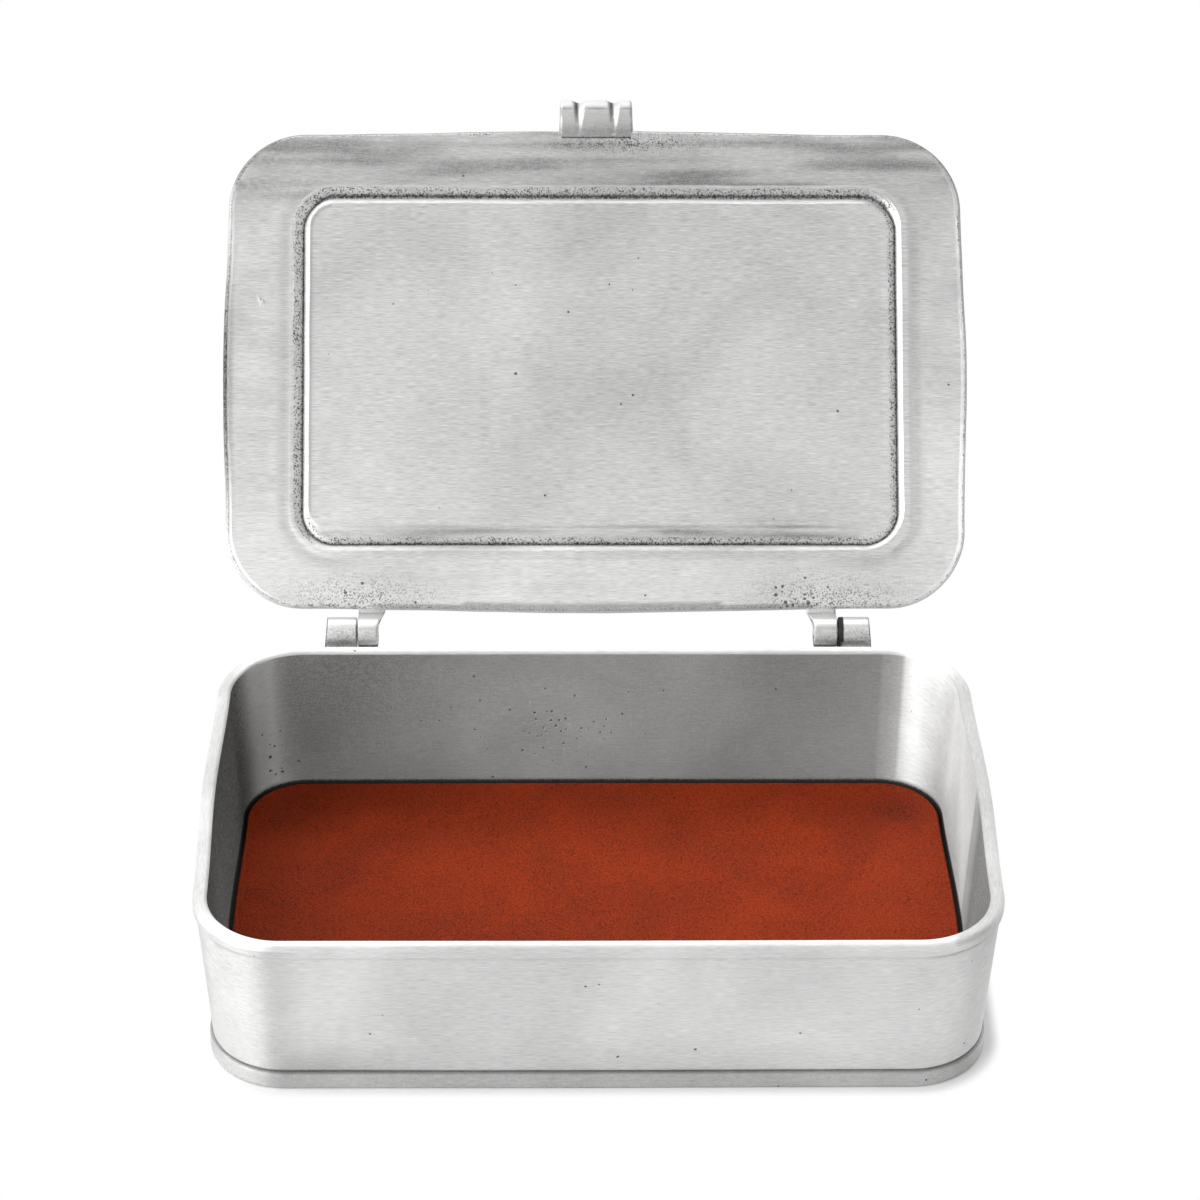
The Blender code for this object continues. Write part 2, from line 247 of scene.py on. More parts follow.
def paint(piece, **rules):
    """Writes numbers from 0 to 1 on every vertex, each worked out by a rule from its place and normal."""
    mesh = piece.data
    for attribute, rule in rules.items():
        layer = mesh.attributes.new(attribute, "FLOAT", "POINT")
        for vertex, normal in zip(mesh.vertices, mesh.vertex_normals):
            layer.data[vertex.index].value = min(max(rule(vertex.co, normal.vector), 0.0), 1.0)


def hand_over(piece, body, slot, *nodes):
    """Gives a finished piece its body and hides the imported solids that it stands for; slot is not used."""
    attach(piece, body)
    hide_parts(*nodes)
    spans = zip(*(vertex.co for vertex in piece.data.vertices))
    sides = in_mm(max(span) - min(span) for span in spans)
    print(piece.name, sides, "mm,", len(piece.data.polygons), "faces")


# %% [markdown]
# Pewter's finish is made of a few marks that come back on every piece: fine brush lines, clouds left by hand
# polishing, small casting pits and the sandy skin of an unworked casting. Each is a shader node group, built
# once and placed in the materials with its own values. The groups put out only numbers that change over the
# surface; the shader itself stays in the material. Short helpers keep the node code readable.

# %% Helpers for nodes
def feed(tree, node, inputs):
    """Sets a node's inputs: a socket is linked, and a plain value is stored."""
    for key, value in dict(inputs).items():
        if isinstance(value, bpy.types.NodeSocket):
            tree.links.new(value, node.inputs[key])
        else:
            node.inputs[key].default_value = value


def add_node(tree, kind, inputs=(), **settings):
    """Adds a node with its settings and inputs, and returns its outputs."""
    node = tree.nodes.new(kind)
    for name, value in settings.items():
        setattr(node, name, value)
    feed(tree, node, inputs)
    return node.outputs


def maths(tree, operation, first, second=0.0, third=0.0, clamp=False):
    """One Math node's result."""
    inputs = {0: first, 1: second, 2: third}
    return add_node(tree, "ShaderNodeMath", inputs, operation=operation, use_clamp=clamp)[0]


def product(tree, first, second):
    """Two values multiplied."""
    return maths(tree, "MULTIPLY", first, second)


def scaled(tree, value, gain, base):
    """A value times a gain, on top of a base."""
    return maths(tree, "MULTIPLY_ADD", value, gain, base)


def swung(tree, tone, gain, base):
    """A base that a tone round 0.5 swings up and down."""
    return scaled(tree, maths(tree, "SUBTRACT", tone, 0.5), gain, base)


def blended(tree, first, second, share):
    """Two values mixed, with a share of the second one."""
    return scaled(tree, first, 1 - share, product(tree, second, share))


def remap(tree, value, from_low, from_high, to_low=0.0, to_high=1.0):
    """A value moved smoothly from one range to another."""
    span = {"Value": value, "From Min": from_low, "From Max": from_high, "To Min": to_low, "To Max": to_high}
    return add_node(tree, "ShaderNodeMapRange", span, interpolation_type="SMOOTHSTEP")[0]


def noise_in(tree, vector, scale, detail=2.0, **more):
    """A Noise texture's outputs. The scale is in waves per metre."""
    return add_node(tree, "ShaderNodeTexNoise", {"Vector": vector, "Scale": scale, "Detail": detail, **more})


def wobbled(tree, vector, scale, reach):
    """A vector pushed about by noise, so that a texture's cells aren't straight-edged."""
    push = {0: noise_in(tree, vector, scale)["Color"], 1: (reach, reach, reach)}
    shift = add_node(tree, "ShaderNodeVectorMath", push, operation="MULTIPLY")[0]
    return add_node(tree, "ShaderNodeVectorMath", {0: vector, 1: shift}, operation="ADD")[0]


def new_group(name, inputs, outputs):
    """An empty shader group with named sockets, what comes in at its start, and the node at its end."""
    group = bpy.data.node_groups.new(name, "ShaderNodeTree")
    for socket_name, start in inputs.items():
        kind = "NodeSocketVector" if start is None else "NodeSocketFloat"
        socket = group.interface.new_socket(socket_name, in_out="INPUT", socket_type=kind)
        if start is not None:
            socket.default_value = start
    for socket_name in outputs:
        group.interface.new_socket(socket_name, in_out="OUTPUT", socket_type="NodeSocketFloat")
    return group, group.nodes.new("NodeGroupInput").outputs, group.nodes.new("NodeGroupOutput")


def place_group(tree, group, inputs):
    """The outputs of a group that is placed in a material with its own values."""
    return add_node(tree, "ShaderNodeGroup", inputs, node_tree=group)


print("node helpers ready")

# %% [markdown]
# Brush lines are noise that is stretched fourteen times along the stroke. Two sizes of it are mixed, because
# a brush leaves both hair-fine lines and wider bands. The stroke follows the U direction of the UV map.

# %% Brush lines
def make_brush_lines():
    """Fine and broad lines along X of the vector, as a tone round 0.5."""
    inputs = {"Vector": None, "Lines per metre": 5000.0, "Stretch": 14.0}
    group, given, end = new_group("brush_lines", inputs, ["Tone"])
    parts = add_node(group, "ShaderNodeSeparateXYZ", {0: given["Vector"]})
    tones = []
    for share, detail in ((1.0, 4.0), (0.3, 2.0)):
        across = product(group, given["Lines per metre"], share)
        along = maths(group, "DIVIDE", across, given["Stretch"])
        places = {"X": product(group, parts["X"], along), "Y": product(group, parts["Y"], across)}
        stretched = add_node(group, "ShaderNodeCombineXYZ", places)[0]
        tones.append(noise_in(group, stretched, 1.0, detail)["Fac"])
    feed(group, end, {"Tone": blended(group, tones[0], tones[1], 0.25)})
    return group


brush_lines = make_brush_lines()
print("group", brush_lines.name, "with", len(brush_lines.nodes), "nodes")

# %% [markdown]
# Casting pits are cells of a Voronoi texture. Only a few cells are used, picked by a random number that the
# texture gives each cell, and a slow noise gathers them in clusters. A pit is dark and sunk.

# %% Casting pits
def make_casting_pits():
    """Sparse round pits, as a mask that is 1 in a pit. More Share means more pits."""
    inputs = {"Vector": None, "Pits per metre": 900.0, "Share": 0.02, "Pit size": 0.24}
    group, given, end = new_group("casting_pits", inputs, ["Mask"])
    moved = wobbled(group, given["Vector"], 2600.0, 0.35 * mm)
    cells = add_node(group, "ShaderNodeTexVoronoi", {"Vector": moved, "Scale": given["Pits per metre"]})
    chance = add_node(group, "ShaderNodeSeparateColor", {0: cells["Color"]})
    slow = noise_in(group, given["Vector"], 90.0, 1.0)["Fac"]
    gathered = product(group, given["Share"], remap(group, slow, 0.45, 0.7, 0.2, 3.0))
    chosen = maths(group, "LESS_THAN", chance[0], gathered)
    size = product(group, given["Pit size"], maths(group, "ADD", chance[1], 0.4))
    depth = maths(group, "SUBTRACT", 1.0, maths(group, "DIVIDE", cells["Distance"], size), clamp=True)
    sharp = maths(group, "MULTIPLY", depth, 2.5, clamp=True)
    feed(group, end, {"Mask": product(group, sharp, chosen)})
    return group


casting_pits = make_casting_pits()
print("group", casting_pits.name, "with", len(casting_pits.nodes), "nodes")

# %% [markdown]
# The sandy skin is what a casting looks like before a file or a wheel touches it. It stays in the channel of
# the lid, beside the thumb piece and by the hinges. Clouds are slow noise, the uneven pressure of the
# polisher's hand.

# %% Sandy skin and clouds
def make_sandy_skin():
    """Grains of two sizes, as a height round 0.5 and a mask of the dark hollows."""
    inputs = {"Vector": None, "Grains per metre": 2900.0}
    group, given, end = new_group("sandy_skin", inputs, ["Height", "Hollows"])
    scale = given["Grains per metre"]
    fine = noise_in(group, given["Vector"], scale, 3.0, Roughness=0.65)["Fac"]
    broad = noise_in(group, given["Vector"], product(group, scale, 0.3))["Fac"]
    height = blended(group, fine, broad, 0.18)
    feed(group, end, {"Height": height, "Hollows": remap(group, height, 0.5, 0.4)})
    return group


def make_clouds():
    """Slow patches, as a tone round 0.5."""
    group, given, end = new_group("hand_clouds", {"Vector": None, "Clouds per metre": 35.0}, ["Tone"])
    patches = noise_in(group, given["Vector"], given["Clouds per metre"], 3.0, Distortion=0.6)["Fac"]
    feed(group, end, {"Tone": patches})
    return group


sandy_skin = make_sandy_skin()
hand_clouds = make_clouds()
print("groups", sandy_skin.name, "and", hand_clouds.name)

# %% [markdown]
# The pewter itself reads four numbers painted on the vertices: one for dark oxide together with painted shade,
# cast for unworked skin, pitted for crowds of pits, and one for places rubbed brighter together with painted
# highlights. It is a metal, but a soft and slightly oxidised one, so a part of its light is scattered like
# paint's: its Metallic value stays below one.

# %% Helpers for materials
def new_material(name):
    """A new material, its node tree and its shader."""
    material = bpy.data.materials.new(name)
    material.use_nodes = True
    return material, material.node_tree, material.node_tree.nodes["Principled BSDF"]


def painted(tree, attribute):
    """The number that paint wrote on the vertices."""
    return add_node(tree, "ShaderNodeAttribute", attribute_name=attribute)["Fac"]


def toned(tree, colour, tone):
    """A colour made lighter or darker by a tone round 1."""
    return add_node(tree, "ShaderNodeVectorMath", {0: colour, "Scale": tone}, operation="SCALE")[0]


def mixed_colour(tree, factor, first, second):
    """Two colours mixed by a factor."""
    inputs = {"Factor": factor, "A": first, "B": second}
    return add_node(tree, "ShaderNodeMix", inputs, data_type="RGBA")["Result"]


def bumped(tree, height):
    """The normal of a surface with a height in metres."""
    return add_node(tree, "ShaderNodeBump", {"Strength": 1.0, "Distance": 1.0, "Height": height})[0]


print("material helpers ready")

# %% Pewter
clean_pewter = (0.73, 0.73, 0.725)
# The dark colour stands for oxide and for painted shade alike.
dark_patina = (0.035, 0.035, 0.033, 1.0)
line_height = 0.004 * mm
skin_height = 0.16 * mm
pit_depth = 0.12 * mm
cloud_tone = 0.16


def pewter(name, shade=1.0, line_tone=0.34, pit_share=0.006, anisotropy=0.7):
    """Brushed cast pewter with its marks in their own strengths."""
    material, tree, shader = new_material(name)
    spots = add_node(tree, "ShaderNodeTexCoord")
    place = spots["Object"]
    patina, cast, polish, pitted = [painted(tree, kind) for kind in ("patina", "cast", "polish", "pitted")]

    stroke = place_group(tree, brush_lines, {"Vector": spots["UV"], "Lines per metre": 7000.0})["Tone"]
    cloud = place_group(tree, hand_clouds, {"Vector": place})["Tone"]
    skin = place_group(tree, sandy_skin, {"Vector": place})
    share = scaled(tree, pitted, 0.6, pit_share)
    size = scaled(tree, pitted, 0.12, 0.24)
    pits = place_group(tree, casting_pits, {"Vector": place, "Share": share, "Pit size": size})["Mask"]

    brushed = maths(tree, "SUBTRACT", 1.0, cast)
    tone = swung(tree, stroke, product(tree, brushed, 4 * line_tone), 1.0)
    tone = swung(tree, cloud, 4 * cloud_tone, tone)
    # Painted highlights, and the rim's rubbing, lift the tone.
    tone = scaled(tree, polish, 0.22, tone)
    tone = product(tree, tone, shade)
    hollows = product(tree, skin["Hollows"], cast)
    swing = scaled(tree, cast, 0.42, 0.13)
    ragged = scaled(tree, remap(tree, skin["Height"], 0.4, 0.58, 1.0, -1.0), swing, 1.0)
    # Oxide and painted shade pull the colour towards the dark one, with ragged edges.
    ragged = product(tree, patina, ragged)
    ragged = maths(tree, "MAXIMUM", ragged, scaled(tree, patina, 2.0, -1.0))
    dirt_and_shade = maths(tree, "MAXIMUM", product(tree, hollows, 1.1), ragged)
    dirt_and_shade = maths(tree, "MAXIMUM", dirt_and_shade, product(tree, pits, 0.85), clamp=True)

    rough = swung(tree, cloud, 0.25, 0.48)
    rough = scaled(tree, dirt_and_shade, 0.3, rough)
    rough = scaled(tree, polish, 0.08, rough)
    height = product(tree, product(tree, stroke, brushed), line_height)
    grains = product(tree, skin["Height"], product(tree, cast, skin_height))
    height = maths(tree, "ADD", height, grains)
    height = scaled(tree, pits, -pit_depth, height)
    feed(tree, shader, {
        "Base Color": mixed_colour(tree, dirt_and_shade, toned(tree, clean_pewter, tone), dark_patina),
        "Roughness": rough,
        "Metallic": scaled(tree, dirt_and_shade, -0.35, 0.92),
        "Anisotropic": anisotropy,
        "Anisotropic Rotation": 0.25,
        "Tangent": add_node(tree, "ShaderNodeTangent", direction_type="UV_MAP")[0],
        "Normal": bumped(tree, height),
    })
    return material


wall_pewter = pewter("wall_pewter", line_tone=0.22, anisotropy=0.85)
lid_pewter = pewter("lid_pewter", shade=0.97)
hinge_pewter = pewter("hinge_pewter", line_tone=0.15, pit_share=0.02)
print("pewter finishes:", wall_pewter.name, lid_pewter.name, hinge_pewter.name)

# %% [markdown]
# The wall and the foot are one idea twice: a profile that travels round the plan of the box. Geometry Nodes
# make this with Curve to Mesh, and the plan curve is built in the tree from named sizes. The same tree stores
# the way round and the way across as a UV map. The sides bow out by a cosine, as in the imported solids.

# %% Helpers for the sweep
def bowed(tree, way, cross, straight, bow):
    """How far a side's point moves out: a cosine of its place along the side, with the side's own sign."""
    wave = maths(tree, "COSINE", product(tree, maths(tree, "DIVIDE", way, straight), math.pi))
    lift = product(tree, product(tree, maths(tree, "ADD", wave, 1.0), 0.5), bow)
    on_side = maths(tree, "LESS_THAN", maths(tree, "ABSOLUTE", way), straight)
    return product(tree, product(tree, lift, on_side), maths(tree, "SIGN", cross))


def read_number(tree, name):
    """A named attribute's value as a field."""
    return add_node(tree, "GeometryNodeInputNamedAttribute", {"Name": name}, data_type="FLOAT")["Attribute"]


def store(tree, geometry, name, value, kind, domain):
    """The geometry with a value stored on it as a named attribute."""
    inputs = {"Geometry": geometry, "Name": name, "Value": value}
    return add_node(tree, "GeometryNodeStoreNamedAttribute", inputs, data_type=kind, domain=domain)[0]


print("sweep helpers ready")

# %% Geometry Nodes tree: a profile swept round the box
def make_sweep_tree():
    """The incoming profile (X: outwards from the plan, Y: down) swept round a bowed and rounded plan."""
    tree = bpy.data.node_groups.new("sweep_round_the_box", "GeometryNodeTree")
    sockets = (
        ("Geometry", "Geometry", None),
        ("Half width", "Float", 70.0 * mm),
        ("Half depth", "Float", 45.7 * mm),
        ("Corner radius", "Float", 15.5 * mm),
        ("Side bow", "Float", 0.65 * mm),
        ("Front bow", "Float", 0.1 * mm),
        ("Points", "Int", 440),
        ("Finish", "Material", None),
    )
    for name, kind, value in sockets:
        socket = tree.interface.new_socket(name, in_out="INPUT", socket_type="NodeSocket" + kind)
        if value is not None:
            socket.default_value = value
    tree.interface.new_socket("Geometry", in_out="OUTPUT", socket_type="NodeSocketGeometry")
    start = tree.nodes.new("NodeGroupInput").outputs
    end = tree.nodes.new("NodeGroupOutput")

    half_x = maths(tree, "SUBTRACT", start["Half width"], start["Side bow"])
    half_y = maths(tree, "SUBTRACT", start["Half depth"], start["Front bow"])
    straight_x = maths(tree, "SUBTRACT", half_x, start["Corner radius"])
    straight_y = maths(tree, "SUBTRACT", half_y, start["Corner radius"])
    sides = {"Width": product(tree, half_x, 2.0), "Height": product(tree, half_y, 2.0)}
    plan = add_node(tree, "GeometryNodeCurvePrimitiveQuadrilateral", sides)[0]
    corners = {"Curve": plan, "Count": 48, "Radius": start["Corner radius"]}
    rounded = add_node(tree, "GeometryNodeFilletCurve", corners, mode="POLY")[0]
    points = {"Curve": rounded, "Count": start["Points"]}
    even = add_node(tree, "GeometryNodeResampleCurve", points, mode="COUNT")[0]
    spot = add_node(tree, "ShaderNodeSeparateXYZ", {0: add_node(tree, "GeometryNodeInputPosition")[0]})
    bows = {"X": bowed(tree, spot["Y"], spot["X"], straight_y, start["Side bow"]),
            "Y": bowed(tree, spot["X"], spot["Y"], straight_x, start["Front bow"])}
    move = add_node(tree, "ShaderNodeCombineXYZ", bows)[0]
    bent = add_node(tree, "GeometryNodeSetPosition", {"Geometry": even, "Offset": move})[0]
    upright = add_node(tree, "GeometryNodeSetCurveNormal", {"Curve": bent}, mode="Z_UP")[0]

    profile = add_node(tree, "GeometryNodeMeshToCurve", {"Mesh": start["Geometry"]})[0]
    marked = []
    for curve, name in ((upright, "way_round"), (profile, "way_across")):
        length = add_node(tree, "GeometryNodeSplineParameter")["Length"]
        marked.append(store(tree, curve, name, length, "FLOAT", "POINT"))
    swept = add_node(tree, "GeometryNodeCurveToMesh", {"Curve": marked[0], "Profile Curve": marked[1]})[0]

    whole = add_node(tree, "GeometryNodeCurveLength", {"Curve": marked[0]})[0]
    round_way = read_number(tree, "way_round")
    on_face = {"data_type": "FLOAT", "domain": "FACE"}
    middle = add_node(tree, "GeometryNodeFieldOnDomain", {"Value": round_way}, **on_face)[0]
    lag = maths(tree, "SUBTRACT", middle, round_way)
    behind = maths(tree, "GREATER_THAN", lag, product(tree, whole, 0.25))
    places = {"X": scaled(tree, behind, whole, round_way), "Y": read_number(tree, "way_across")}
    chart = add_node(tree, "ShaderNodeCombineXYZ", places)[0]
    mapped = store(tree, swept, "UVMap", chart, "FLOAT2", "CORNER")
    real = add_node(tree, "GeometryNodeRealizeInstances", {"Geometry": mapped})[0]
    finished = add_node(tree, "GeometryNodeSetMaterial", {"Geometry": real, "Material": start["Finish"]})[0]
    feed(tree, end, {"Geometry": finished})
    return tree


sweep_tree = make_sweep_tree()
print("tree", sweep_tree.name, "with", len(sweep_tree.nodes), "nodes")

# %% [markdown]
# A small function runs the tree. The profile goes in as a mesh of points and edges, the tree's inputs are set
# by the identifier of each socket, and the evaluated result becomes a plain mesh of its own.

# %% Run the sweep
def sweep(profile, closed, sizes, material):
    """Sweeps a profile of (inset, height) points round the plan and returns a bmesh of the result."""
    outline = bpy.data.meshes.new("profile")
    count = len(profile)
    edges = [(index, (index + 1) % count) for index in range(count if closed else count - 1)]
    outline.from_pydata([(-inset, -height, 0.0) for inset, height in profile], edges, [])
    carrier = bpy.data.objects.new("profile", outline)
    bpy.context.scene.collection.objects.link(carrier)
    modifier = carrier.modifiers.new("sweep", "NODES")
    modifier.node_group = sweep_tree
    values = {**sizes, "Finish": material}
    for item in sweep_tree.interface.items_tree:
        if item.in_out == "INPUT" and item.name in values:
            modifier[item.identifier] = values[item.name]
    bpy.context.view_layer.update()
    result = bpy.data.meshes.new_from_object(carrier.evaluated_get(bpy.context.evaluated_depsgraph_get()))
    bpy.data.objects.remove(carrier, do_unlink=True)
    skin = bmesh.new()
    skin.from_mesh(result)
    bpy.data.meshes.remove(result)
    return skin


wall_low, wall_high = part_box("body_wall")
base_low, base_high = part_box("base_plate")
plan_sizes = {
    "Half width": wall_high.x,
    "Half depth": wall_high.y,
    "Corner radius": 15.5 * mm,
    "Side bow": 0.65 * mm,
    "Front bow": 0.1 * mm,
    "Points": 440,
}
print("plan of the rim", {name: round(size, 5) for name, size in plan_sizes.items()})

# %% [markdown]
# The wall's profile starts where it sits on the foot, climbs with a slight outward lean, steps out under the
# rim band and rolls over the rounded rim. A soft hollow under the band catches a thin shadow.

# %% Profile of the body wall
rim_width = 2.5 * mm
rim_band = 2.2 * mm
rim_proud = 0.5 * mm
band_hollow = 0.06 * mm
foot_chamfer = 0.2 * mm
outer_draft = 1.7 * mm
inner_draft = 1.2 * mm
rim_outer_round = 1.0 * mm
rim_inner_round = 0.8 * mm


def wall_profile():
    """The wall's cross-section as (inset, height) points, from the foot up outside and down inside."""
    top = wall_high.z
    bottom = wall_low.z
    band = top - rim_band
    heel = rim_proud + outer_draft
    points = [(heel + foot_chamfer, bottom), (heel, bottom + foot_chamfer)]
    for share in (0.02, 0.25, 0.5, 0.75):
        points.append((rim_proud + outer_draft * (1 - share), bottom + (band - bottom) * share))
    hollow = rim_proud + band_hollow
    points += [(hollow, band - 1.2 * mm), (hollow, band - 0.55 * mm), (rim_proud, band - 0.3 * mm)]
    points += [(0.2 * mm, band - 0.1 * mm), (0.03 * mm, band + 0.05 * mm), (0.0, band + 0.3 * mm)]
    points += arc((rim_outer_round, top - rim_outer_round), rim_outer_round, 180, 90, 7)
    points += arc((rim_width - rim_inner_round, top - rim_inner_round), rim_inner_round, 90, 0, 7)
    inner_top = top - rim_inner_round
    for share in (0.1, 0.25, 0.4, 0.55, 0.7, 0.85, 0.965, 0.984, 1.0):
        points.append((rim_width + inner_draft * share, inner_top - (inner_top - bottom) * share))
    return points


print("profile of the wall:", len(wall_profile()), "points")

# %% [markdown]
# Where the metal is dull, bright, sandy or pitted is told by rules: short functions of a vertex's place and
# normal. Most rules add up two shapes, a soft bump and a ramp, which come first here. Inside, the wall gets
# painted shade at the left and low at the right, partly for unpolished metal, and painted highlights in its
# back corners. The rim is rubbed bright, with a painted highlight at its back and painted shade at its right.

# %% Paint rules of the wall
back_corners = 54 * mm
rim_top = 0.8 * mm
plan_outline = [plan_sizes[name] for name in ("Half width", "Half depth", "Corner radius")]


def bell(value, middle, width):
    """A soft bump that is 1 at its middle."""
    return math.exp(-((value - middle) / width) ** 2)


def ramp(value, start, length):
    """0 up to a start, and 1 from a length further on."""
    return min(max((value - start) / length, 0.0), 1.0)


def distance_out(spot, half_x, half_y, radius, middle=(0.0, 0.0)):
    """How far a point lies outside a rounded rectangle, or inside it where negative."""
    x = abs(spot.x - middle[0]) - (half_x - radius)
    y = abs(spot.y - middle[1]) - (half_y - radius)
    return (math.hypot(x, y) if x > 0 and y > 0 else max(x, y)) - radius


def wall_inset(spot):
    """How far a point lies inside the plan's outline, near enough for painting."""
    return -distance_out(spot, *plan_outline)


def looks_inwards(spot, normal):
    """True on the faces of the wall that look at the contents."""
    on_rim = spot.z > wall_high.z - 0.65 * rim_inner_round
    return normal.x * spot.x + normal.y * spot.y < 0 and wall_inset(spot) > 1.6 * mm and not on_rim


def corner_turn(spot):
    """How far round a corner of the plan a point is: 0 on the short side, 90 on the long one."""
    x = abs(spot.x) - (plan_sizes["Half width"] - plan_sizes["Corner radius"])
    y = abs(spot.y) - (plan_sizes["Half depth"] - plan_sizes["Corner radius"])
    return math.degrees(math.atan2(max(y, 0.0), max(x, 0.0001 * mm)))


def back_left_highlight(spot):
    """Where the painted highlight, a bright upright stripe, stands in the back left corner."""
    return bell(corner_turn(spot), 50.0, 19.0) if spot.x < 0 < spot.y else 0.0


def inner_dullness_and_shade(spot):
    """Painted shade inside, partly unpolished dullness: most at the left, none in the back right corner."""
    turn = corner_turn(spot)
    climb = (spot.z - wall_low.z) / (wall_high.z - wall_low.z)
    back = 0.26 + 0.12 * climb
    if spot.x < 0:
        side = 0.0
        if spot.x < -back_corners:
            side = 1 - turn / 90 if spot.y > 0 else 1.0
        back_left = (0.14 + 0.14 * climb) * bell(spot.x, -46 * mm, 18 * mm)
        return (back + back_left + 0.5 * side) * (1 - back_left_highlight(spot))
    at_right = spot.x > back_corners
    front = 0.66 * ramp(-spot.y, 2 * mm, 7 * mm) if at_right else 0.0
    if spot.x > 66 * mm or (at_right and spot.y > 0 and turn < 72):
        return front
    return max(front, back + 0.05 * bell(spot.x, 34 * mm, 15 * mm))


def wall_patina(spot, normal):
    """Oxide under the band and in the foot's seam; painted shade round the liner, at the ends and inside."""
    if looks_inwards(spot, normal):
        # Painted shade: the inner wall's foot by the liner, and the wall's whole inside.
        return max(0.95 * bell(spot.z, wall_low.z, 0.45 * mm), inner_dullness_and_shade(spot))
    # Painted shade on the right end of the rim.
    if spot.z > wall_high.z - rim_top:
        return 0.14 if spot.x > 60 * mm else 0.0
    turn = corner_turn(spot)
    round_corner = 0.3 + 0.7 * (1 - (abs(turn - 45) / 45) ** 4)
    # Painted shade at the outer left and right ends of the wall.
    left = (0.13 + 0.09 * bell(turn, 75, 25)) * ramp(-spot.x, 50 * mm, 6 * mm)
    right = 0.18 * ramp(spot.x, 62 * mm, 5 * mm)
    under_band = 0.4 * round_corner * bell(spot.z, wall_high.z - rim_band - 0.5 * mm, 0.45 * mm)
    seam = (0.18 + 0.7 * bell(spot.x, -48 * mm, 17 * mm)) * bell(spot.z, wall_low.z, 0.5 * mm)
    return max(under_band, seam, left, right)


def wall_pits(spot, normal):
    """Crowds of pits low on the back wall, left of its middle and under the back left painted highlight."""
    if not looks_inwards(spot, normal) or spot.y < 0:
        return 0.0
    crowd = bell(spot.x, -12 * mm, 15 * mm) * bell(spot.z, 15 * mm, 6 * mm)
    return max(crowd, 0.7 * back_left_highlight(spot) * bell(spot.z, 9 * mm, 6 * mm))


def wall_polish(spot, normal):
    """Rubbed rim top with a painted highlight at its back, and painted highlights in both back corners."""
    if looks_inwards(spot, normal):
        # Painted highlights in the back left stripe and the back right corner.
        return max(1.5 * back_left_highlight(spot), 1.0 if spot.x > back_corners and spot.y > 0 else 0.0)
    if spot.z < wall_high.z - rim_top:
        return 0.0
    # A painted highlight on the back of the rim, over the rubbing.
    return 1.0 if spot.y > 40 * mm else 0.4


print("dullness at the left end:", round(inner_dullness_and_shade(Vector((wall_low.x, 0.0, wall_high.z))), 2))

# %% Body wall
skin = sweep(wall_profile(), True, plan_sizes, wall_pewter)
wall = to_object("pewter_wall", skin, wall_pewter)
paint(wall, patina=wall_patina, polish=wall_polish, pitted=wall_pits)
hand_over(wall, "box", "pewter", "body_wall")

# %% [markdown]
# The foot is a flat band round the bottom with the floor inside it. The same tree sweeps its outer part, and
# two flat faces close the underside and the floor.

# %% Base plate
foot_inset = base_low.x - wall_low.x
foot_height = base_high.z
floor_level = 1.8 * mm
seat_width = 2.0 * mm
seat_chamfer = 0.1 * mm
foot_low_round = 0.4 * mm
foot_high_round = 0.3 * mm
plate_overlap = 12 * mm


def base_profile():
    """The foot's cross-section from the underside round the band and down to the floor."""
    seat = foot_inset + seat_width
    points = [(foot_inset + plate_overlap, 0.0), (foot_inset + 0.5 * mm, 0.0)]
    points += arc((foot_inset + foot_low_round, foot_low_round), foot_low_round, 270, 180, 5)
    points += [(foot_inset, 1.0 * mm), (foot_inset, 2.2 * mm)]
    points += arc((foot_inset + foot_high_round, foot_height - foot_high_round), foot_high_round, 180, 90, 5)
    points += [(seat - seat_chamfer, foot_height), (seat, foot_height - seat_chamfer)]
    points += [(seat, floor_level), (seat + plate_overlap, floor_level)]
    return points


def close_flat(skin):
    """Closes every open rim of a mesh with one flat face, mapped by X and Y."""
    chart = skin.loops.layers.uv["UVMap"]
    rims = [edge for edge in skin.edges if edge.is_boundary]
    made = bmesh.ops.holes_fill(skin, edges=rims, sides=0)["faces"]
    for face in made:
        face.material_index = 0
        for corner in face.loops:
            corner[chart].uv = (corner.vert.co.x, corner.vert.co.y)


skin = sweep(base_profile(), False, plan_sizes, wall_pewter)
close_flat(skin)
base = to_object("pewter_base", skin, wall_pewter)


def base_patina(spot, normal):
    """Painted shade round the liner and at the bottom edge, oxide in the seam, a darker foot band."""
    # Painted shade: the bare floor round the liner is black, as a gap in shadow.
    if wall_inset(spot) > foot_inset + 1.5 * mm and spot.z > 1.0 * mm:
        return 1.0
    # A painted contact shadow along the foot's bottom edge and the underside.
    if spot.z < 0.2 * mm:
        return 0.7
    # The foot band is darker, partly duller metal and partly painted shade; the seam under the wall holds
    # oxide.
    return 0.35 if spot.z > foot_height - 0.2 * mm else 0.29


paint(base, patina=base_patina)
hand_over(base, "box", "pewter", "base_plate")

# %% [markdown]
# The lid is a thin plate. Inside, a channel runs round a plain panel. It was pressed in by hand, so its
# bottom line isn't quite in the middle: at the left and front the slope towards the panel is the short one,
# and at the right and back the slope towards the border is. Three outlines describe it, and the surface is
# skinned through rings between them. The outside carries the same frame as a raised moulding.

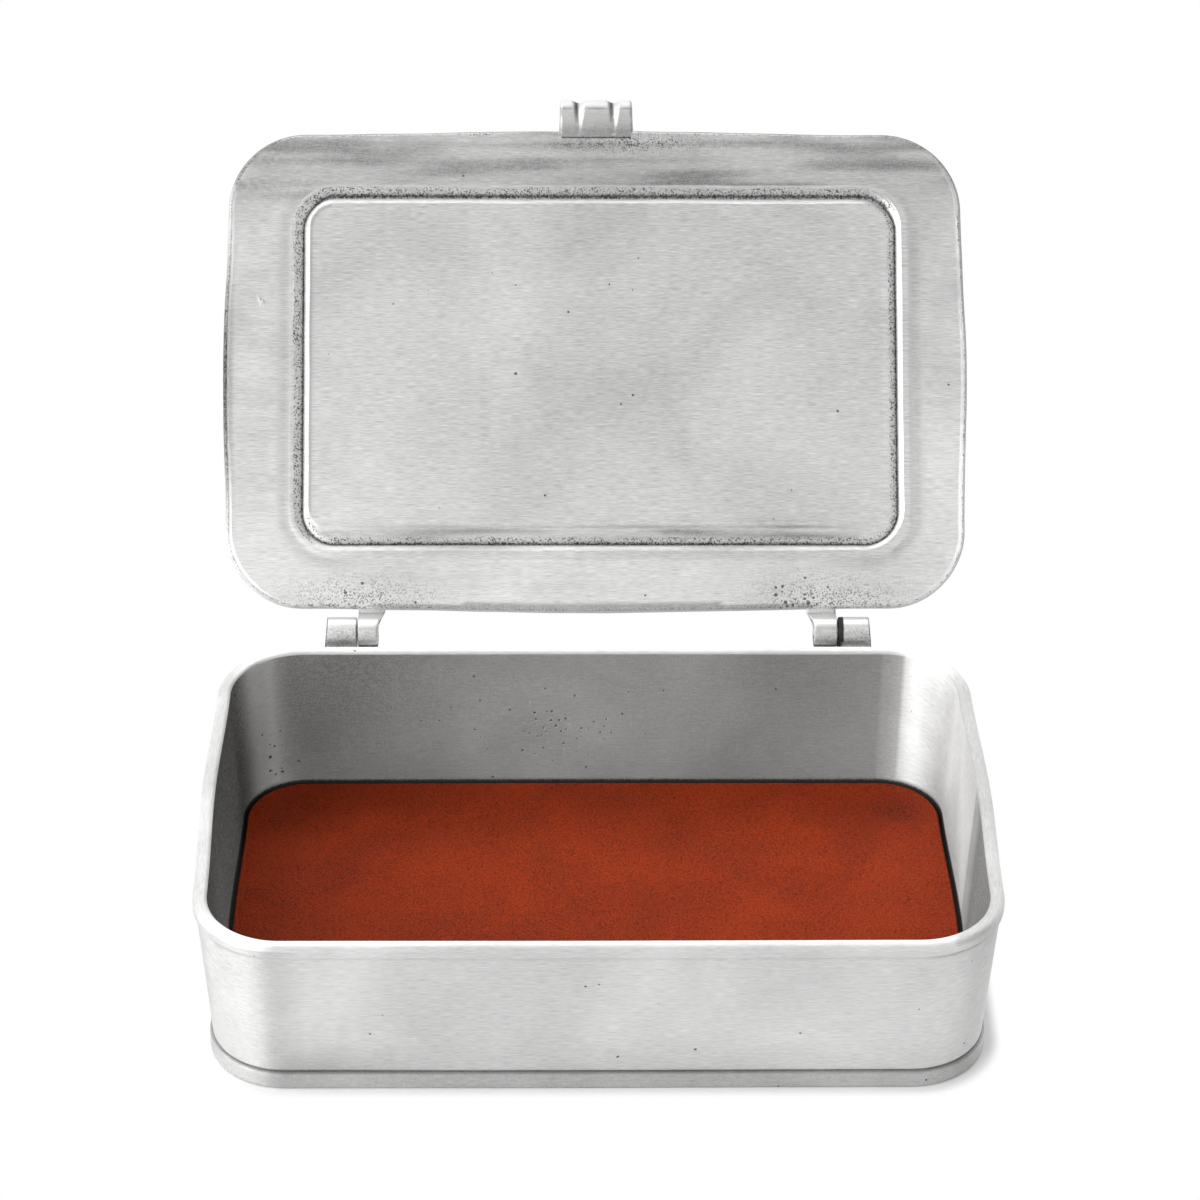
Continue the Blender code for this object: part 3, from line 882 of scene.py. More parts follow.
# %% Sizes of the lid
lid_overhang = 0.7 * mm
lid_play = 0.3 * mm
lid_half_width = wall_high.x + lid_overhang
lid_half_depth = wall_high.y + lid_overhang
lid_under = wall_high.z + lid_play - axis_place.z
lid_thickness = 2.1 * mm
lid_edge_round = 0.9 * mm
lid_bows = (0.8 * mm, 0.8 * mm)
lid_radius = 14.9 * mm
no_bow = (0.0, 0.0)
lid_back = -axis_place.y
channel_outlines = {
    "inner": (54.4 * mm, 31.3 * mm, 4.8 * mm, (0.0, lid_back - 0.75 * mm)),
    "bottom": (56.35 * mm, 33.3 * mm, 6.3 * mm, (0.85 * mm, lid_back + 0.15 * mm)),
    "outer": (58.05 * mm, 35.1 * mm, 8.0 * mm, (0.35 * mm, lid_back - 0.4 * mm)),
}
channel_depth = 0.8 * mm
inner_lip = 0.12 * mm
outer_lip = 0.14 * mm
steep_run = 1.4 * mm
long_run = 2.7 * mm
print("the shut lid is", in_mm((2 * lid_half_width, 2 * lid_half_depth, lid_thickness)), "mm")

# %% Rings of the channel
def channel_ring(name, spread, depth):
    """One of the channel's outlines, moved out by a spread, at a depth into the lid."""
    half_x, half_y, radius, middle = channel_outlines[name]
    return plan_ring(half_x + spread, half_y + spread, radius + spread, no_bow, lid_under + depth, middle)


def steepness(edge, foot):
    """1 where a slope is short and so steep, 0 where it is long."""
    run = math.hypot(edge.x - foot.x, edge.y - foot.y)
    return 1 - ramp(run, steep_run, long_run - steep_run)


def lip_heights(wide_ring, bottom_ring, lip):
    """A lip is high where its slope is steep, and runs out where the slope is long."""
    return [lip * steepness(edge, foot) for edge, foot in zip(wide_ring, bottom_ring)]


def slope_ring(wide_ring, bottom_ring, share, lips):
    """A ring at a share of the way down a slope, which is straight where short and sags where long."""
    ring = []
    for edge, foot, lip in zip(wide_ring, bottom_ring, lips):
        steep = steepness(edge, foot)
        straight = 0.8 * share + 0.2 * share * share * (3 - 2 * share)
        depth = channel_depth * (steep * straight + (1 - steep) * share ** 1.5) - lip * (1 - share)
        spot = edge.lerp(foot, share)
        ring.append(Vector((spot.x, spot.y, lid_under + depth)))
    return ring


def lifted(ring, heights, share):
    """A ring raised out of the lid's inner face by a share of each point's own height."""
    return [Vector((p.x, p.y, p.z - height * share)) for p, height in zip(ring, heights)]


print("a ring of the channel has", len(channel_ring("inner", 0.0, 0.0)), "points")

# %% Rings of the whole lid
panel_inset = 1.5 * mm
border_inset = lid_edge_round + 0.35 * mm
middle_share = 0.004


def edge_ring(inset, depth):
    """The lid's outline, drawn in by an inset, at a depth into the lid."""
    half_x = lid_half_width - inset
    half_y = lid_half_depth - inset
    return plan_ring(half_x, half_y, lid_radius - inset, lid_bows, lid_under + depth, (0.0, lid_back))


def ridge_ring(spread, rise):
    """A ring of the low moulding on the lid's outside, which lies over the channel."""
    sizes = [size + spread for size in channel_outlines["bottom"][:3]]
    return plan_ring(*sizes, no_bow, lid_under + lid_thickness + rise, (0.0, lid_back + 0.6 * mm))


def lid_rings():
    """All rings of the lid from the middle of the panel inside, round the edge, to the middle of the top."""
    middle = (0.0, lid_back)
    panel_edge = channel_ring("inner", -panel_inset, 0.0)
    panel_shares = [middle_share] + [k / 16 for k in range(1, 16)]
    rings = [shrunk(panel_edge, share, middle, lid_under) for share in panel_shares]
    rings.append(panel_edge)

    inner = channel_ring("inner", 0.0, 0.0)
    bottom = channel_ring("bottom", 0.0, channel_depth)
    outer = channel_ring("outer", 0.0, 0.0)
    inner_lips = lip_heights(inner, bottom, inner_lip)
    outer_lips = lip_heights(outer, bottom, outer_lip)
    for spread, share in ((-1.1, 0.08), (-0.75, 0.35), (-0.45, 0.72), (-0.22, 0.93), (0.0, 1.0)):
        rings.append(lifted(channel_ring("inner", spread * mm, 0.0), inner_lips, share))
    slope_shares = (0.06, 0.16, 0.3, 0.45, 0.6, 0.74, 0.86, 0.95)
    rings += [slope_ring(inner, bottom, share, inner_lips) for share in slope_shares]
    rings.append(bottom)
    rings += [slope_ring(outer, bottom, share, outer_lips) for share in reversed(slope_shares)]
    for spread, share in ((0.0, 1.0), (0.22, 0.93), (0.5, 0.72), (0.9, 0.38), (1.4, 0.12), (2.0, 0.0)):
        rings.append(lifted(channel_ring("outer", spread * mm, 0.0), outer_lips, share))

    border = edge_ring(border_inset, 0.0)
    start = rings[-1]
    rings += [between(start, border, k / 10) for k in range(1, 11)]
    flats = len(rings)
    for depth, start_degrees in ((lid_edge_round, 270), (lid_thickness - lid_edge_round, 180)):
        corner = arc((lid_edge_round, depth), lid_edge_round, start_degrees, start_degrees - 90, 7)
        rings += [edge_ring(inset, height) for inset, height in corner]
    rounds = len(rings)

    top_border = edge_ring(border_inset, lid_thickness)
    rings.append(top_border)
    flank = ((3.2, 0.0), (2.6, 0.02), (2.0, 0.12), (1.5, 0.38), (1.1, 0.72), (0.75, 0.95), (0.4, 1.07))
    moulding = flank[1:] + ((0.0, 1.1),) + tuple((-spread, rise) for spread, rise in reversed(flank))
    outside = ridge_ring(flank[0][0] * mm, 0.0)
    rings += [between(top_border, outside, share) for share in (0.25, 0.5, 0.75, 1.0)]
    rings += [ridge_ring(spread * mm, rise * mm) for spread, rise in moulding]
    last = rings[-1]
    top_shares = [k / 16 for k in range(15, 0, -1)] + [middle_share]
    rings += [shrunk(last, share, middle, lid_under + lid_thickness) for share in top_shares]
    return rings, [row for row in range(len(rings) - 1) if row < flats - 1 or row >= rounds]


print("rings of the lid:", len(lid_rings()[0]))

# %% Lid shell
def unevenness(rings):
    """A few hundredths of a millimetre of hand work, so that reflections are never dead straight."""
    for ring in rings:
        for point in ring:
            spot = Vector((point.x, point.y, 3.0 * point.z)) / (14 * mm)
            point.z += 0.05 * mm * noise.noise(spot)
            point.x += 0.12 * mm * noise.noise(spot * 1.3 + Vector((5.0, 0.0, 0.0)))
            point.y += 0.12 * mm * noise.noise(spot * 1.3 + Vector((0.0, 7.0, 0.0)))


rings, flat_rows = lid_rings()
unevenness(rings)
lid = to_object("pewter_lid", loft(rings, flat_rows), lid_pewter)
print("the lid's mesh has", len(lid.data.vertices), "points")

# %% [markdown]
# The oxide inside the lid fills the channel's bottom line. At the thumb piece's end, here called far, the
# line is wide and the border is smeared and darkened by painted shade. At the hinges' end, here called near,
# the smears lie on the slope towards the panel. Painted shade also lies beside the channel, inside the bead,
# in the far right corner, along the hinge edge and over the whole outside. Pits and sandy skin crowd by the
# hinges, where a file hardly reaches.

# %% Dark oxide and painted shade of the lid
def to_channel(spot):
    """How far a point lies out from the channel's bottom line, in the shut lid's own frame."""
    return distance_out(spot, *channel_outlines["bottom"])


def inside_face(spot):
    """True on the face that closes onto the box."""
    return spot.z < lid_under + 0.5 * lid_thickness


def smears(spot, seed):
    """Long soft smudges along X, from 0 to 1."""
    wave = noise.noise(Vector((spot.x / (38 * mm), spot.y / (1.6 * mm), seed)))
    wave += 0.5 * noise.noise(Vector((spot.x / (13 * mm), spot.y / (3.0 * mm), seed + 5.0)))
    return min(max(0.25 + 1.6 * wave, 0.0), 1.0)


def edge_patina(spot, ahead):
    """The lid's rounded edge made darker: most at the left and far side, a little elsewhere."""
    left = 0.9 * bell(ahead, 2 * mm, 30 * mm) if spot.x < -55 * mm else 0.0
    far = 0.6 if ahead < -36 * mm and abs(spot.x) > 9 * mm else 0.0
    return max(left, far, 0.3)


def border_patina(spot, off, ahead, far, near):
    """Border: smears and painted shade at the far end, painted shade by the channel and hinges, dark edges."""
    # Painted shade along the hinge edge, and a darker left edge.
    hinge_edge = 0.45 if ahead > lid_half_depth - 1.6 * mm and abs(spot.x) < 42 * mm else 0.0
    left_edge = 0.5 * bell(spot.x, 1.0 * mm - lid_half_width, 1.0 * mm) * bell(ahead, 2 * mm, 30 * mm)
    # Painted shade in the far right corner, and smears darkened by painted shade at the far end.
    corner = 0.22 * bell(spot.x, 62 * mm, 9 * mm) * bell(ahead, -38 * mm, 10 * mm)
    far_smear = far * (0.2 + 0.4 * smears(spot, 3.0))
    # Painted shade beside the channel.
    beside = 0.24 * (1 - near) * bell(off, 3.5 * mm, 1.3 * mm)
    return max(far_smear, corner, beside, 0.08 * smears(spot, 9.0), hinge_edge, left_edge)


def lid_patina(spot, normal):
    """Oxide in the channel's line; smears, painted shade and darker edges; painted shade outside."""
    # An even painted shade covers the whole outside.
    if not inside_face(spot):
        return 0.35
    off = to_channel(spot)
    ahead = spot.y - lid_back
    if off > 6 * mm and (abs(normal.z) < 0.75 or (abs(normal.z) < 0.995 and spot.x < -60 * mm)):
        return edge_patina(spot, ahead)
    far = ramp(-ahead, 31 * mm, 3 * mm)
    near = ramp(ahead, 26 * mm, 2 * mm) * (1 - ramp(abs(spot.x), 39 * mm, 12 * mm))
    line = 0.95 * bell(off / mm, 0.5 * far - 0.1 * near, 0.33 + 0.17 * far + 0.07 * near)
    near_smear = 0.6 * near * smears(spot, 5.0) * bell(off, -1.3 * mm, 2.4 * mm)
    rubbed = 0.42 * near * bell(spot.x, -22 * mm, 15 * mm) * bell(off, 0.2 * mm, 1.0 * mm)
    second_line = 0.5 * near * bell(spot.x, 12 * mm, 26 * mm) * bell(off, -1.3 * mm, 0.22 * mm)
    near_smear = max(near_smear, rubbed, second_line)
    if off < 0:
        # Painted shade just inside the bead at the far end.
        inside_bead = 0.5 * far * bell(off, -2.0 * mm, 0.55 * mm)
        near_edge = near * (0.25 + 0.4 * smears(spot, 7.0)) * bell(off, -3.3 * mm, 0.35 * mm)
        left_edge = 0.3 * bell(off, -1.4 * mm, 0.3 * mm) if spot.x < -50 * mm else 0.0
        # A faint painted shade down the panel's middle.
        middle = 0.08 * bell(spot.x, -5 * mm, 18 * mm)
        return max(line, inside_bead, near_edge, left_edge, middle, near_smear)
    if off < 2.5 * mm:
        return max(line, near_smear, 0.3 * far * bell(off, 1.4 * mm, 0.7 * mm))
    return max(line, border_patina(spot, off, ahead, far, near))


deepest = Vector((0.0, lid_back + 33.45 * mm, lid_under))
print("oxide in the near bottom line:", round(lid_patina(deepest, Vector((0.0, 0.0, -1.0))), 2))

# %% Pits, sandy skin and painted highlights of the lid
channel_top = lid_under + 0.05 * channel_depth
steep_normal = 0.87


def from_hinges(spot, distance):
    """How far along Y a point lies from a line near the lid's hinge edge."""
    return spot.y - lid_back - lid_half_depth + distance


def lid_pits(spot, normal):
    """Pits crowd on the border above the hinges."""
    crowd = bell(abs(spot.x), 38 * mm, 8 * mm) * bell(from_hinges(spot, 3.0 * mm), 0.0, 3.5 * mm)
    return crowd if inside_face(spot) else 0.0


def lid_cast(spot, normal):
    """Sandy skin in the channel's long slopes, beside the thumb piece and by the hinges."""
    if not inside_face(spot):
        return 0.0
    channel = 0.0
    if spot.z > channel_top:
        channel = 0.1 if abs(normal.z) < steep_normal or to_channel(spot) < -1.2 * mm else 0.8
    thumb_end = spot.y - lid_back + lid_half_depth - 2.5 * mm
    thumb = bell(spot.x, 8 * mm, 14 * mm) * bell(thumb_end, 0.0, 2.2 * mm)
    hinges = bell(abs(spot.x), 44 * mm, 13 * mm) * bell(from_hinges(spot, 2.0 * mm), 0.0, 5.0 * mm)
    return max(channel, 0.9 * thumb, 0.75 * hinges)


def lid_polish(spot, normal):
    """Painted highlights: the steep slopes, the border and panel towards the hinges, and the right border."""
    if not inside_face(spot):
        return 0.0
    ahead = spot.y - lid_back
    # Painted highlights towards the hinges and on the right border.
    lower = 0.7 * ramp(ahead, 8 * mm, 26 * mm)
    if to_channel(spot) > 3 * mm:
        return max(lower, 0.7 * bell(ahead, 12 * mm, 22 * mm) if spot.x > 0 else 0.0)
    if spot.z < channel_top:
        return lower * bell(spot.x, -50 * mm, 30 * mm)
    if spot.x > 50 * mm and to_channel(spot) < 0:
        return 0.2
    # Painted highlights on the steep slopes of the channel.
    return 1.0 if abs(normal.z) < steep_normal else 0.0


paint(lid, patina=lid_patina, cast=lid_cast, pitted=lid_pits, polish=lid_polish)
lid.data.transform(shut_to_open)
hand_over(lid, "lid", "pewter", "lid_shell")

# %% [markdown]
# The thumb piece is a tongue on the lid's front edge that curls up, away from the box. Two grooves part it
# into three lobes and widen towards the tip. It is skinned through cross-sections along a bent middle line.

# %% Sizes and middle line of the thumb piece
thumb_width = 14.2 * mm
thumb_tip_width = 13.7 * mm
thumb_shift = 0.25 * mm
thumb_lap = 1.9 * mm
thumb_parts = ((2.2 * mm, 0.0), (1.9 * mm, 18.0), (0.5 * mm, 32.0), (1.9 * mm, 0.0))
thumb_thickness = 2.0 * mm
thumb_tip_thickness = 1.6 * mm
groove_width = 3.0 * mm
groove_depth = 1.0 * mm
groove_place = 0.235 * thumb_width
groove_start = 0.15
outside_groove = 0.35
thumb_across = 72
thumb_steps = 44
thumb_end_steps = 8
tip_round = 0.5 * mm
thumb_length = thumb_lap + sum(length for length, turn in thumb_parts)


def thumb_middle(share):
    """The middle line at a share of its length, and the direction across the tongue."""
    left = share * thumb_length - thumb_lap
    forward = min(left, 0.0)
    rise = -0.08 * mm * (1 - ramp(left, 0.0, 1.5 * mm))
    heading = 0.0
    for length, turn in thumb_parts:
        run = min(max(left, 0.0), length)
        turned = math.radians(turn) * run / length
        forward += run * math.cos(heading + turned / 2)
        rise += run * math.sin(heading + turned / 2)
        heading += turned
        left -= run
    return Vector((0.0, -forward, rise)), Vector((0.0, math.sin(heading), math.cos(heading)))


print("the thumb piece is", in_mm([thumb_length]), "mm long along its bend")

# %% Thumb piece
def lobe_height(x, half, thick, growth):
    """The half thickness at a place across the tongue: rounded sides and two V grooves with soft lips."""
    side = (abs(x) - (half - 0.6 * mm)) / (0.6 * mm)
    level = thick if side <= 0 else thick * (0.35 + 0.65 * math.sqrt(max(1 - side * side, 0.0)))
    reach = groove_width / 2 * (0.3 + 0.7 * growth)
    dip = max(1 - abs(abs(x) - groove_place) / reach, 0.0)
    return level - groove_depth * growth * dip * min(1.0, 0.7 + 0.6 * dip)


def thumb_ring(share, thickness_share):
    """One cross-section, first along the inner side and then back along the outer one."""
    middle, across = thumb_middle(share)
    half = (thumb_width + (thumb_tip_width - thumb_width) * share) / 2
    thick = (thumb_thickness + (thumb_tip_thickness - thumb_thickness) * share) / 2 * thickness_share
    grown = ramp(share * thumb_length, thumb_lap, thumb_length - thumb_lap)
    growth = (groove_start + (1 - groove_start) * grown) * thickness_share
    growth *= min(share * thumb_length / thumb_lap, 1.0)
    inner = []
    outer = []
    for step in range(thumb_across + 1):
        side_share = step / thumb_across
        x = half * (0.35 * math.sin(math.pi * (side_share - 0.5)) + 0.65 * (2 * side_share - 1))
        centre = middle + Vector((x, 0.0, 0.0))
        inner.append(centre - across * lobe_height(x, half, thick, growth))
        outer.append(centre + across * lobe_height(x, half, thick, growth * outside_groove))
    return inner + list(reversed(outer))


tip_share = tip_round / thumb_length
rings = [thumb_ring((1 - tip_share) * step / thumb_steps, 1.0) for step in range(thumb_steps + 1)]
for step in range(1, thumb_end_steps):
    turn = math.pi / 2 * step / thumb_end_steps
    rings.append(thumb_ring(1 - tip_share * (1 - math.sin(turn)), math.cos(turn)))
thumb_root = Vector((thumb_shift, lid_back - lid_half_depth - 0.3 * mm, lid_under + lid_thickness / 2))
thumb = to_object("pewter_thumb_piece", loft(rings), hinge_pewter, place=Matrix.Translation(thumb_root))


def thumb_patina(spot, normal):
    """Painted shade on each groove's left flank and towards the root; darker lines over the cap and edges."""
    x = spot.x - thumb_shift
    # Painted shade on each groove's left flank, which faces away from the light.
    flank = max(bell(x, centre - 0.45 * mm, 0.45 * mm) for centre in (-groove_place, groove_place))
    grown = min(max((lid_back - lid_half_depth - spot.y) / (4.3 * mm), 0.0), 1.1)
    # Painted shade along the root and, in the return, darker towards the lid's edge.
    root = bell(spot.y, lid_back - lid_half_depth + thumb_lap - 0.3 * mm, 0.45 * mm)
    tip = 0.12 if normal.z * spot.z < 0 or grown > 0.9 else 0.0
    cap_line = 0.6 * bell(grown, 1.0, 0.06) * bell(abs(abs(x) - groove_place), 3.0 * mm, 2.4 * mm)
    edge = 0.5 * bell(abs(x), thumb_width / 2 - 0.5 * mm, 0.35 * mm) * bell(grown, 0.8, 0.3)
    return max(0.85 * flank * grown, root, 0.06 + 0.45 * (1 - grown) ** 2, tip, cap_line, edge)


paint(thumb, patina=thumb_patina)
thumb.data.transform(shut_to_open)
hand_over(thumb, "lid", "pewter", "thumb_piece")

# %% [markdown]
# Each hinge has a knuckle on the lid, one on the body and a pin through both. A knuckle is a side view drawn
# out along the axis, with a bore. If each point of the outline has a partner on the bore's circle, the whole
# knuckle is one closed skin: over one end, along the outside, over the other end and through the bore.

# %% Tools for outlines
knuckle_radius = 2.85 * mm
pin_radius = 0.9 * mm
bore_radius = 1.2 * mm
strap_drop = 12.5 * mm
strap_toe = 1.2 * mm
strap_flare = 1.6 * mm
tongue_thickness = 1.9 * mm
tongue_flare = 1.4 * mm
tongue_lap = 1.3 * mm
edge_steps = 5
barrel_steps = 56
outline_spacing = 0.5 * mm


def rounded_outline(corners):
    """Points of an outline whose corners, given as (y, z, radius), are rounded by arcs."""
    points = []
    for index, (y, z, radius) in enumerate(corners):
        here = Vector((y, z))
        if radius == 0.0:
            points.append(here)
            continue
        before = (Vector(corners[index - 1][:2]) - here).normalized()
        after = (Vector(corners[(index + 1) % len(corners)][:2]) - here).normalized()
        half = before.angle(after) / 2
        reach = radius / math.tan(half)
        centre = here + (before + after).normalized() * (radius / math.sin(half))
        first = here + before * reach - centre
        sweep_angle = first.angle_signed(here + after * reach - centre)
        for step in range(edge_steps + 1):
            angle = -sweep_angle * step / edge_steps
            points.append(centre + Matrix.Rotation(angle, 2) @ first)
    return points


def filled_in(points, spacing):
    """The same outline with extra points wherever two are far apart."""
    dense = []
    for index, point in enumerate(points):
        following = points[(index + 1) % len(points)]
        parts = max(1, math.ceil((following - point).length / spacing))
        dense += [point.lerp(following, part / parts) for part in range(parts)]
    return dense


def inset_outline(points, distance):
    """An anticlockwise outline moved inwards."""
    moved = []
    for index, here in enumerate(points):
        first = (here - points[index - 1]).normalized()
        second = (points[(index + 1) % len(points)] - here).normalized()
        normal = Vector((first.y + second.y, -first.x - second.x)).normalized()
        reach = distance / max(normal.dot(Vector((first.y, -first.x))), 0.5)
        moved.append(here - normal * reach)
    return moved


print("a knuckle's barrel is", in_mm([2 * knuckle_radius]), "mm thick")

# %% Knuckle outlines
def body_outline():
    """Side view of a body knuckle about the axis: barrel, neck under the rim, strap down the wall."""
    band = wall_high.z - rim_band
    neck_height = band - 0.6 * mm
    slope = outer_draft / (band - wall_low.z)
    wall_back = wall_high.y - rim_proud + 0.3 * mm - axis_place.y
    neck = (wall_back, neck_height - axis_place.z)
    heel = (wall_back - slope * (neck_height - axis_place.z + strap_drop), -strap_drop)
    toe = (heel[0] + strap_toe, -strap_drop)
    tangent = math.degrees(math.atan2(toe[1], toe[0]) + math.acos(knuckle_radius / math.hypot(*toe)))
    leave = math.degrees(math.atan2(neck[1], neck[0])) % 360
    barrel = [(y, z, 0.0) for y, z in arc((0.0, 0.0), knuckle_radius, tangent, leave, barrel_steps)]
    strap = [(*neck, 0.0), (*heel, 0.15 * mm), (*toe, 0.5 * mm)]
    return filled_in(rounded_outline(barrel + strap), outline_spacing)


def lid_outline():
    """Side view of a lid knuckle about the axis, shut: barrel, and a tongue that laps into the lid's edge."""
    end = lid_half_depth - tongue_lap - axis_place.y
    low = lid_under + (lid_thickness - tongue_thickness) / 2
    high = low + tongue_thickness
    lip = Vector((end + tongue_lap, low + 0.5 * mm))
    tangent = math.acos(knuckle_radius / lip.length)
    start = math.degrees(math.atan2(lip.y, lip.x) + tangent)
    leave = 540 - math.degrees(math.asin(min(high / knuckle_radius, 1.0)))
    barrel = [(y, z, 0.0) for y, z in arc((0.0, 0.0), knuckle_radius, start, leave, barrel_steps)]
    tongue = [(end, high, 0.0), (end, low + 0.9 * mm, 0.0), (*lip, 0.0)]
    return filled_in(rounded_outline(barrel + tongue), outline_spacing)


print("outline points:", len(body_outline()), "and", len(lid_outline()))

# %% [markdown]
# The outline is drawn along X at several levels. The first and last ones are drawn in, which rounds the ends.
# The strap of a body knuckle leans outwards to its toe, so its points flare at the outer end.

# %% Knuckles
end_round = 0.3 * mm


def rounded_end(radius, steps):
    """How a rounded end starts: the ways in along X, each with the inset of the outline there."""
    turns = [math.pi / 2 * step / steps for step in range(steps + 1)]
    return [(radius * (1 - math.cos(turn)), radius * (1 - math.sin(turn))) for turn in turns]


def make_knuckle(name, outline, inner_x, outer_x, inner_flare, outer_flare, place=None):
    """A knuckle between two places along X. Flares say how far a point moves along X at either end."""
    side = 1 if outer_x > inner_x else -1
    width = abs(outer_x - inner_x)
    levels = rounded_end(end_round, 4)
    mirrored = [(width - run, inset) for run, inset in reversed(levels)]
    levels += [(0.85 * mm, 0.0), (1.0 * mm, 0.0), (width / 2, 0.0)] + mirrored
    bore = [point.normalized() * bore_radius for point in outline]

    def ring(points, run):
        flat = []
        for point in points:
            share = run / width
            x = run + outer_flare(point) * share - inner_flare(point) * (1 - share)
            flat.append(Vector((inner_x + side * x, point.x, point.y)))
        return flat

    first = inset_outline(outline, end_round)
    halfway = [b.lerp(p, 0.5) for b, p in zip(bore, first)]
    rings = [ring(bore, 0.0), ring(halfway, 0.0)]
    for run, inset in levels:
        rings.append(ring(inset_outline(outline, inset) if inset else outline, run))
    rings += [ring(halfway, width), ring(bore, width)]
    return to_object(name, loft(rings, closed=True), hinge_pewter, place=place)


def no_flare(point):
    """A point that keeps its place along X."""
    return 0.0


def strap_lean(point):
    """The strap widens steadily from the barrel's top to its toe."""
    return strap_flare / (knuckle_radius + strap_drop) * (knuckle_radius - point.y)


def tongue_lean(point):
    """The lid's tongue widens inboard in a soft curve as it reaches the lid."""
    reach = ramp(-point.x, 1.2 * mm, 3.6 * mm)
    return tongue_flare * reach * reach * (3 - 2 * reach)


print("the strap widens by", round(strap_lean(Vector((0.0, -strap_drop))) / mm, 2), "mm at its toe")

# %% Paint rules of the knuckles
seam_gap = 0.25 * mm
right_widening = 0.6 * mm
# Painted shade: a black band on the right body knuckle's end, where the gap between knuckles lies in shadow.
gap_shade_width = 0.9 * mm
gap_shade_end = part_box("lid_knuckle_right")[1].x + right_widening + seam_gap + gap_shade_width


def barrel_shade(spot):
    """Painted shade on the front of a barrel and on its foot, and a faint one all over."""
    above = spot.z - axis_place.z
    return max(0.42 * bell(above, 1.5 * mm, 0.7 * mm), 0.4 * bell(above, -2.2 * mm, 1.0 * mm), 0.1)


def body_knuckle_patina(spot, normal):
    """Painted shade at the end facing the other knuckle and on the barrel; oxide on the neck."""
    # Painted shade on the end that faces the gap and on the black band beside it.
    if (normal.x * spot.x < 0 and abs(normal.x) > 0.6) or 0.0 < spot.x < gap_shade_end:
        return 1.0
    return max(barrel_shade(spot), 0.5 if spot.y < wall_high.y - 0.1 * mm else 0.0)


def barrel_polish(spot, normal):
    """A painted highlight on the top of a barrel."""
    return ramp(spot.z, axis_place.z + 2.0 * mm, 0.4 * mm)


def barrel_cast(strength):
    """A rule for sandy skin wherever a barrel has no painted highlight."""
    return lambda spot, normal: strength * (1 - barrel_polish(spot, normal))


def lid_knuckle_patina(spot, normal):
    """Painted shade on the outer end, and on the barrel's side that is below when the lid stands open."""
    if abs(normal.x) > 0.8 and normal.x * spot.x > 0:
        return 1.0
    # Painted shade on the barrel's underside when open.
    if spot.z < axis_place.z - 1.0 * mm:
        return 0.85
    return barrel_shade(spot) if spot.z < axis_place.z + 2.4 * mm else 0.0


print("the dark end of the right body knuckle is", round(gap_shade_width / mm, 1), "mm wide")

# %% Both hinges' knuckles
axis_frame = Matrix.Translation((0.0, axis_place.y, axis_place.z))
for label, side in (("left", -1), ("right", 1)):
    lid_knuckle_low, lid_knuckle_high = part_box("lid_knuckle_" + label)
    pin_low, pin_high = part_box("hinge_pin_" + label)
    lid_outer = lid_knuckle_high.x + right_widening if side > 0 else lid_knuckle_low.x
    lid_inner, body_outer = (pin_low.x, pin_high.x) if side > 0 else (pin_high.x, pin_low.x)
    body_inner = lid_outer + side * seam_gap
    name = "pewter_body_knuckle_" + label
    knuckle = make_knuckle(name, body_outline(), body_inner, body_outer, no_flare, strap_lean, axis_frame)
    paint(knuckle, patina=body_knuckle_patina, cast=barrel_cast(0.5), polish=barrel_polish)
    hand_over(knuckle, "box", "pewter", "body_knuckle_" + label)
    name = "pewter_lid_knuckle_" + label
    ends = (lid_inner - lid_shift, lid_outer - lid_shift)
    knuckle = make_knuckle(name, lid_outline(), *ends, tongue_lean, no_flare)
    knuckle.data.transform(shut_to_open)
    paint(knuckle, patina=lid_knuckle_patina, cast=barrel_cast(0.4), polish=barrel_polish)
    hand_over(knuckle, "lid", "pewter", "lid_knuckle_" + label)

# %% [markdown]
# The pins are plain bars with slightly domed, peened ends. Each is turned: skinned through rounds along X.

# %% Hinge pins
def make_steel():
    """Bright drawn steel with faint rings round it."""
    material, tree, shader = new_material("bright_steel")
    chart = add_node(tree, "ShaderNodeTexCoord")["UV"]
    stroke = place_group(tree, brush_lines, {"Vector": chart, "Lines per metre": 9000.0})["Tone"]
    tone = remap(tree, stroke, 0.3, 0.7, 0.50, 0.62)
    channels = {0: tone, 1: tone, 2: product(tree, tone, 0.98)}
    feed(tree, shader, {
        "Base Color": add_node(tree, "ShaderNodeCombineColor", channels)[0],
        "Metallic": 1.0,
        "Roughness": remap(tree, stroke, 0.3, 0.7, 0.2, 0.3),
    })
    return material


bright_steel = make_steel()
dome = 0.2 * mm
for label in ("left", "right"):
    low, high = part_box("hinge_pin_" + label)
    levels = [(low.x + run, pin_radius - inset) for run, inset in rounded_end(dome, 6)]
    levels += [(low.x + high.x - place, radius) for place, radius in reversed(levels)]
    rounds = [(place, arc((0.0, 0.0), radius, 0, 360, 48)[:-1]) for place, radius in levels]
    rings = [[Vector((place, y, z)) for y, z in circle] for place, circle in rounds]
    pin = to_object("steel_pin_" + label, loft(rings), bright_steel, place=axis_frame)
    hand_over(pin, "box", "pin_steel", "hinge_pin_" + label)

# %% [markdown]
# The liner is a piece of tan leather, cut to the floor and laid in. Its top is skinned from rings like the
# lid, with softened edges, a slight swell and a thumbed dent in the back right corner, where it was pushed
# home. Leather is pebbled: a Voronoi texture's cell edges make the creases between the pebbles.

# %% Leather
leather_colour = (0.275, 0.031, 0.0066)
seen_in_metal = (0.075, 0.078, 0.07, 1.0)


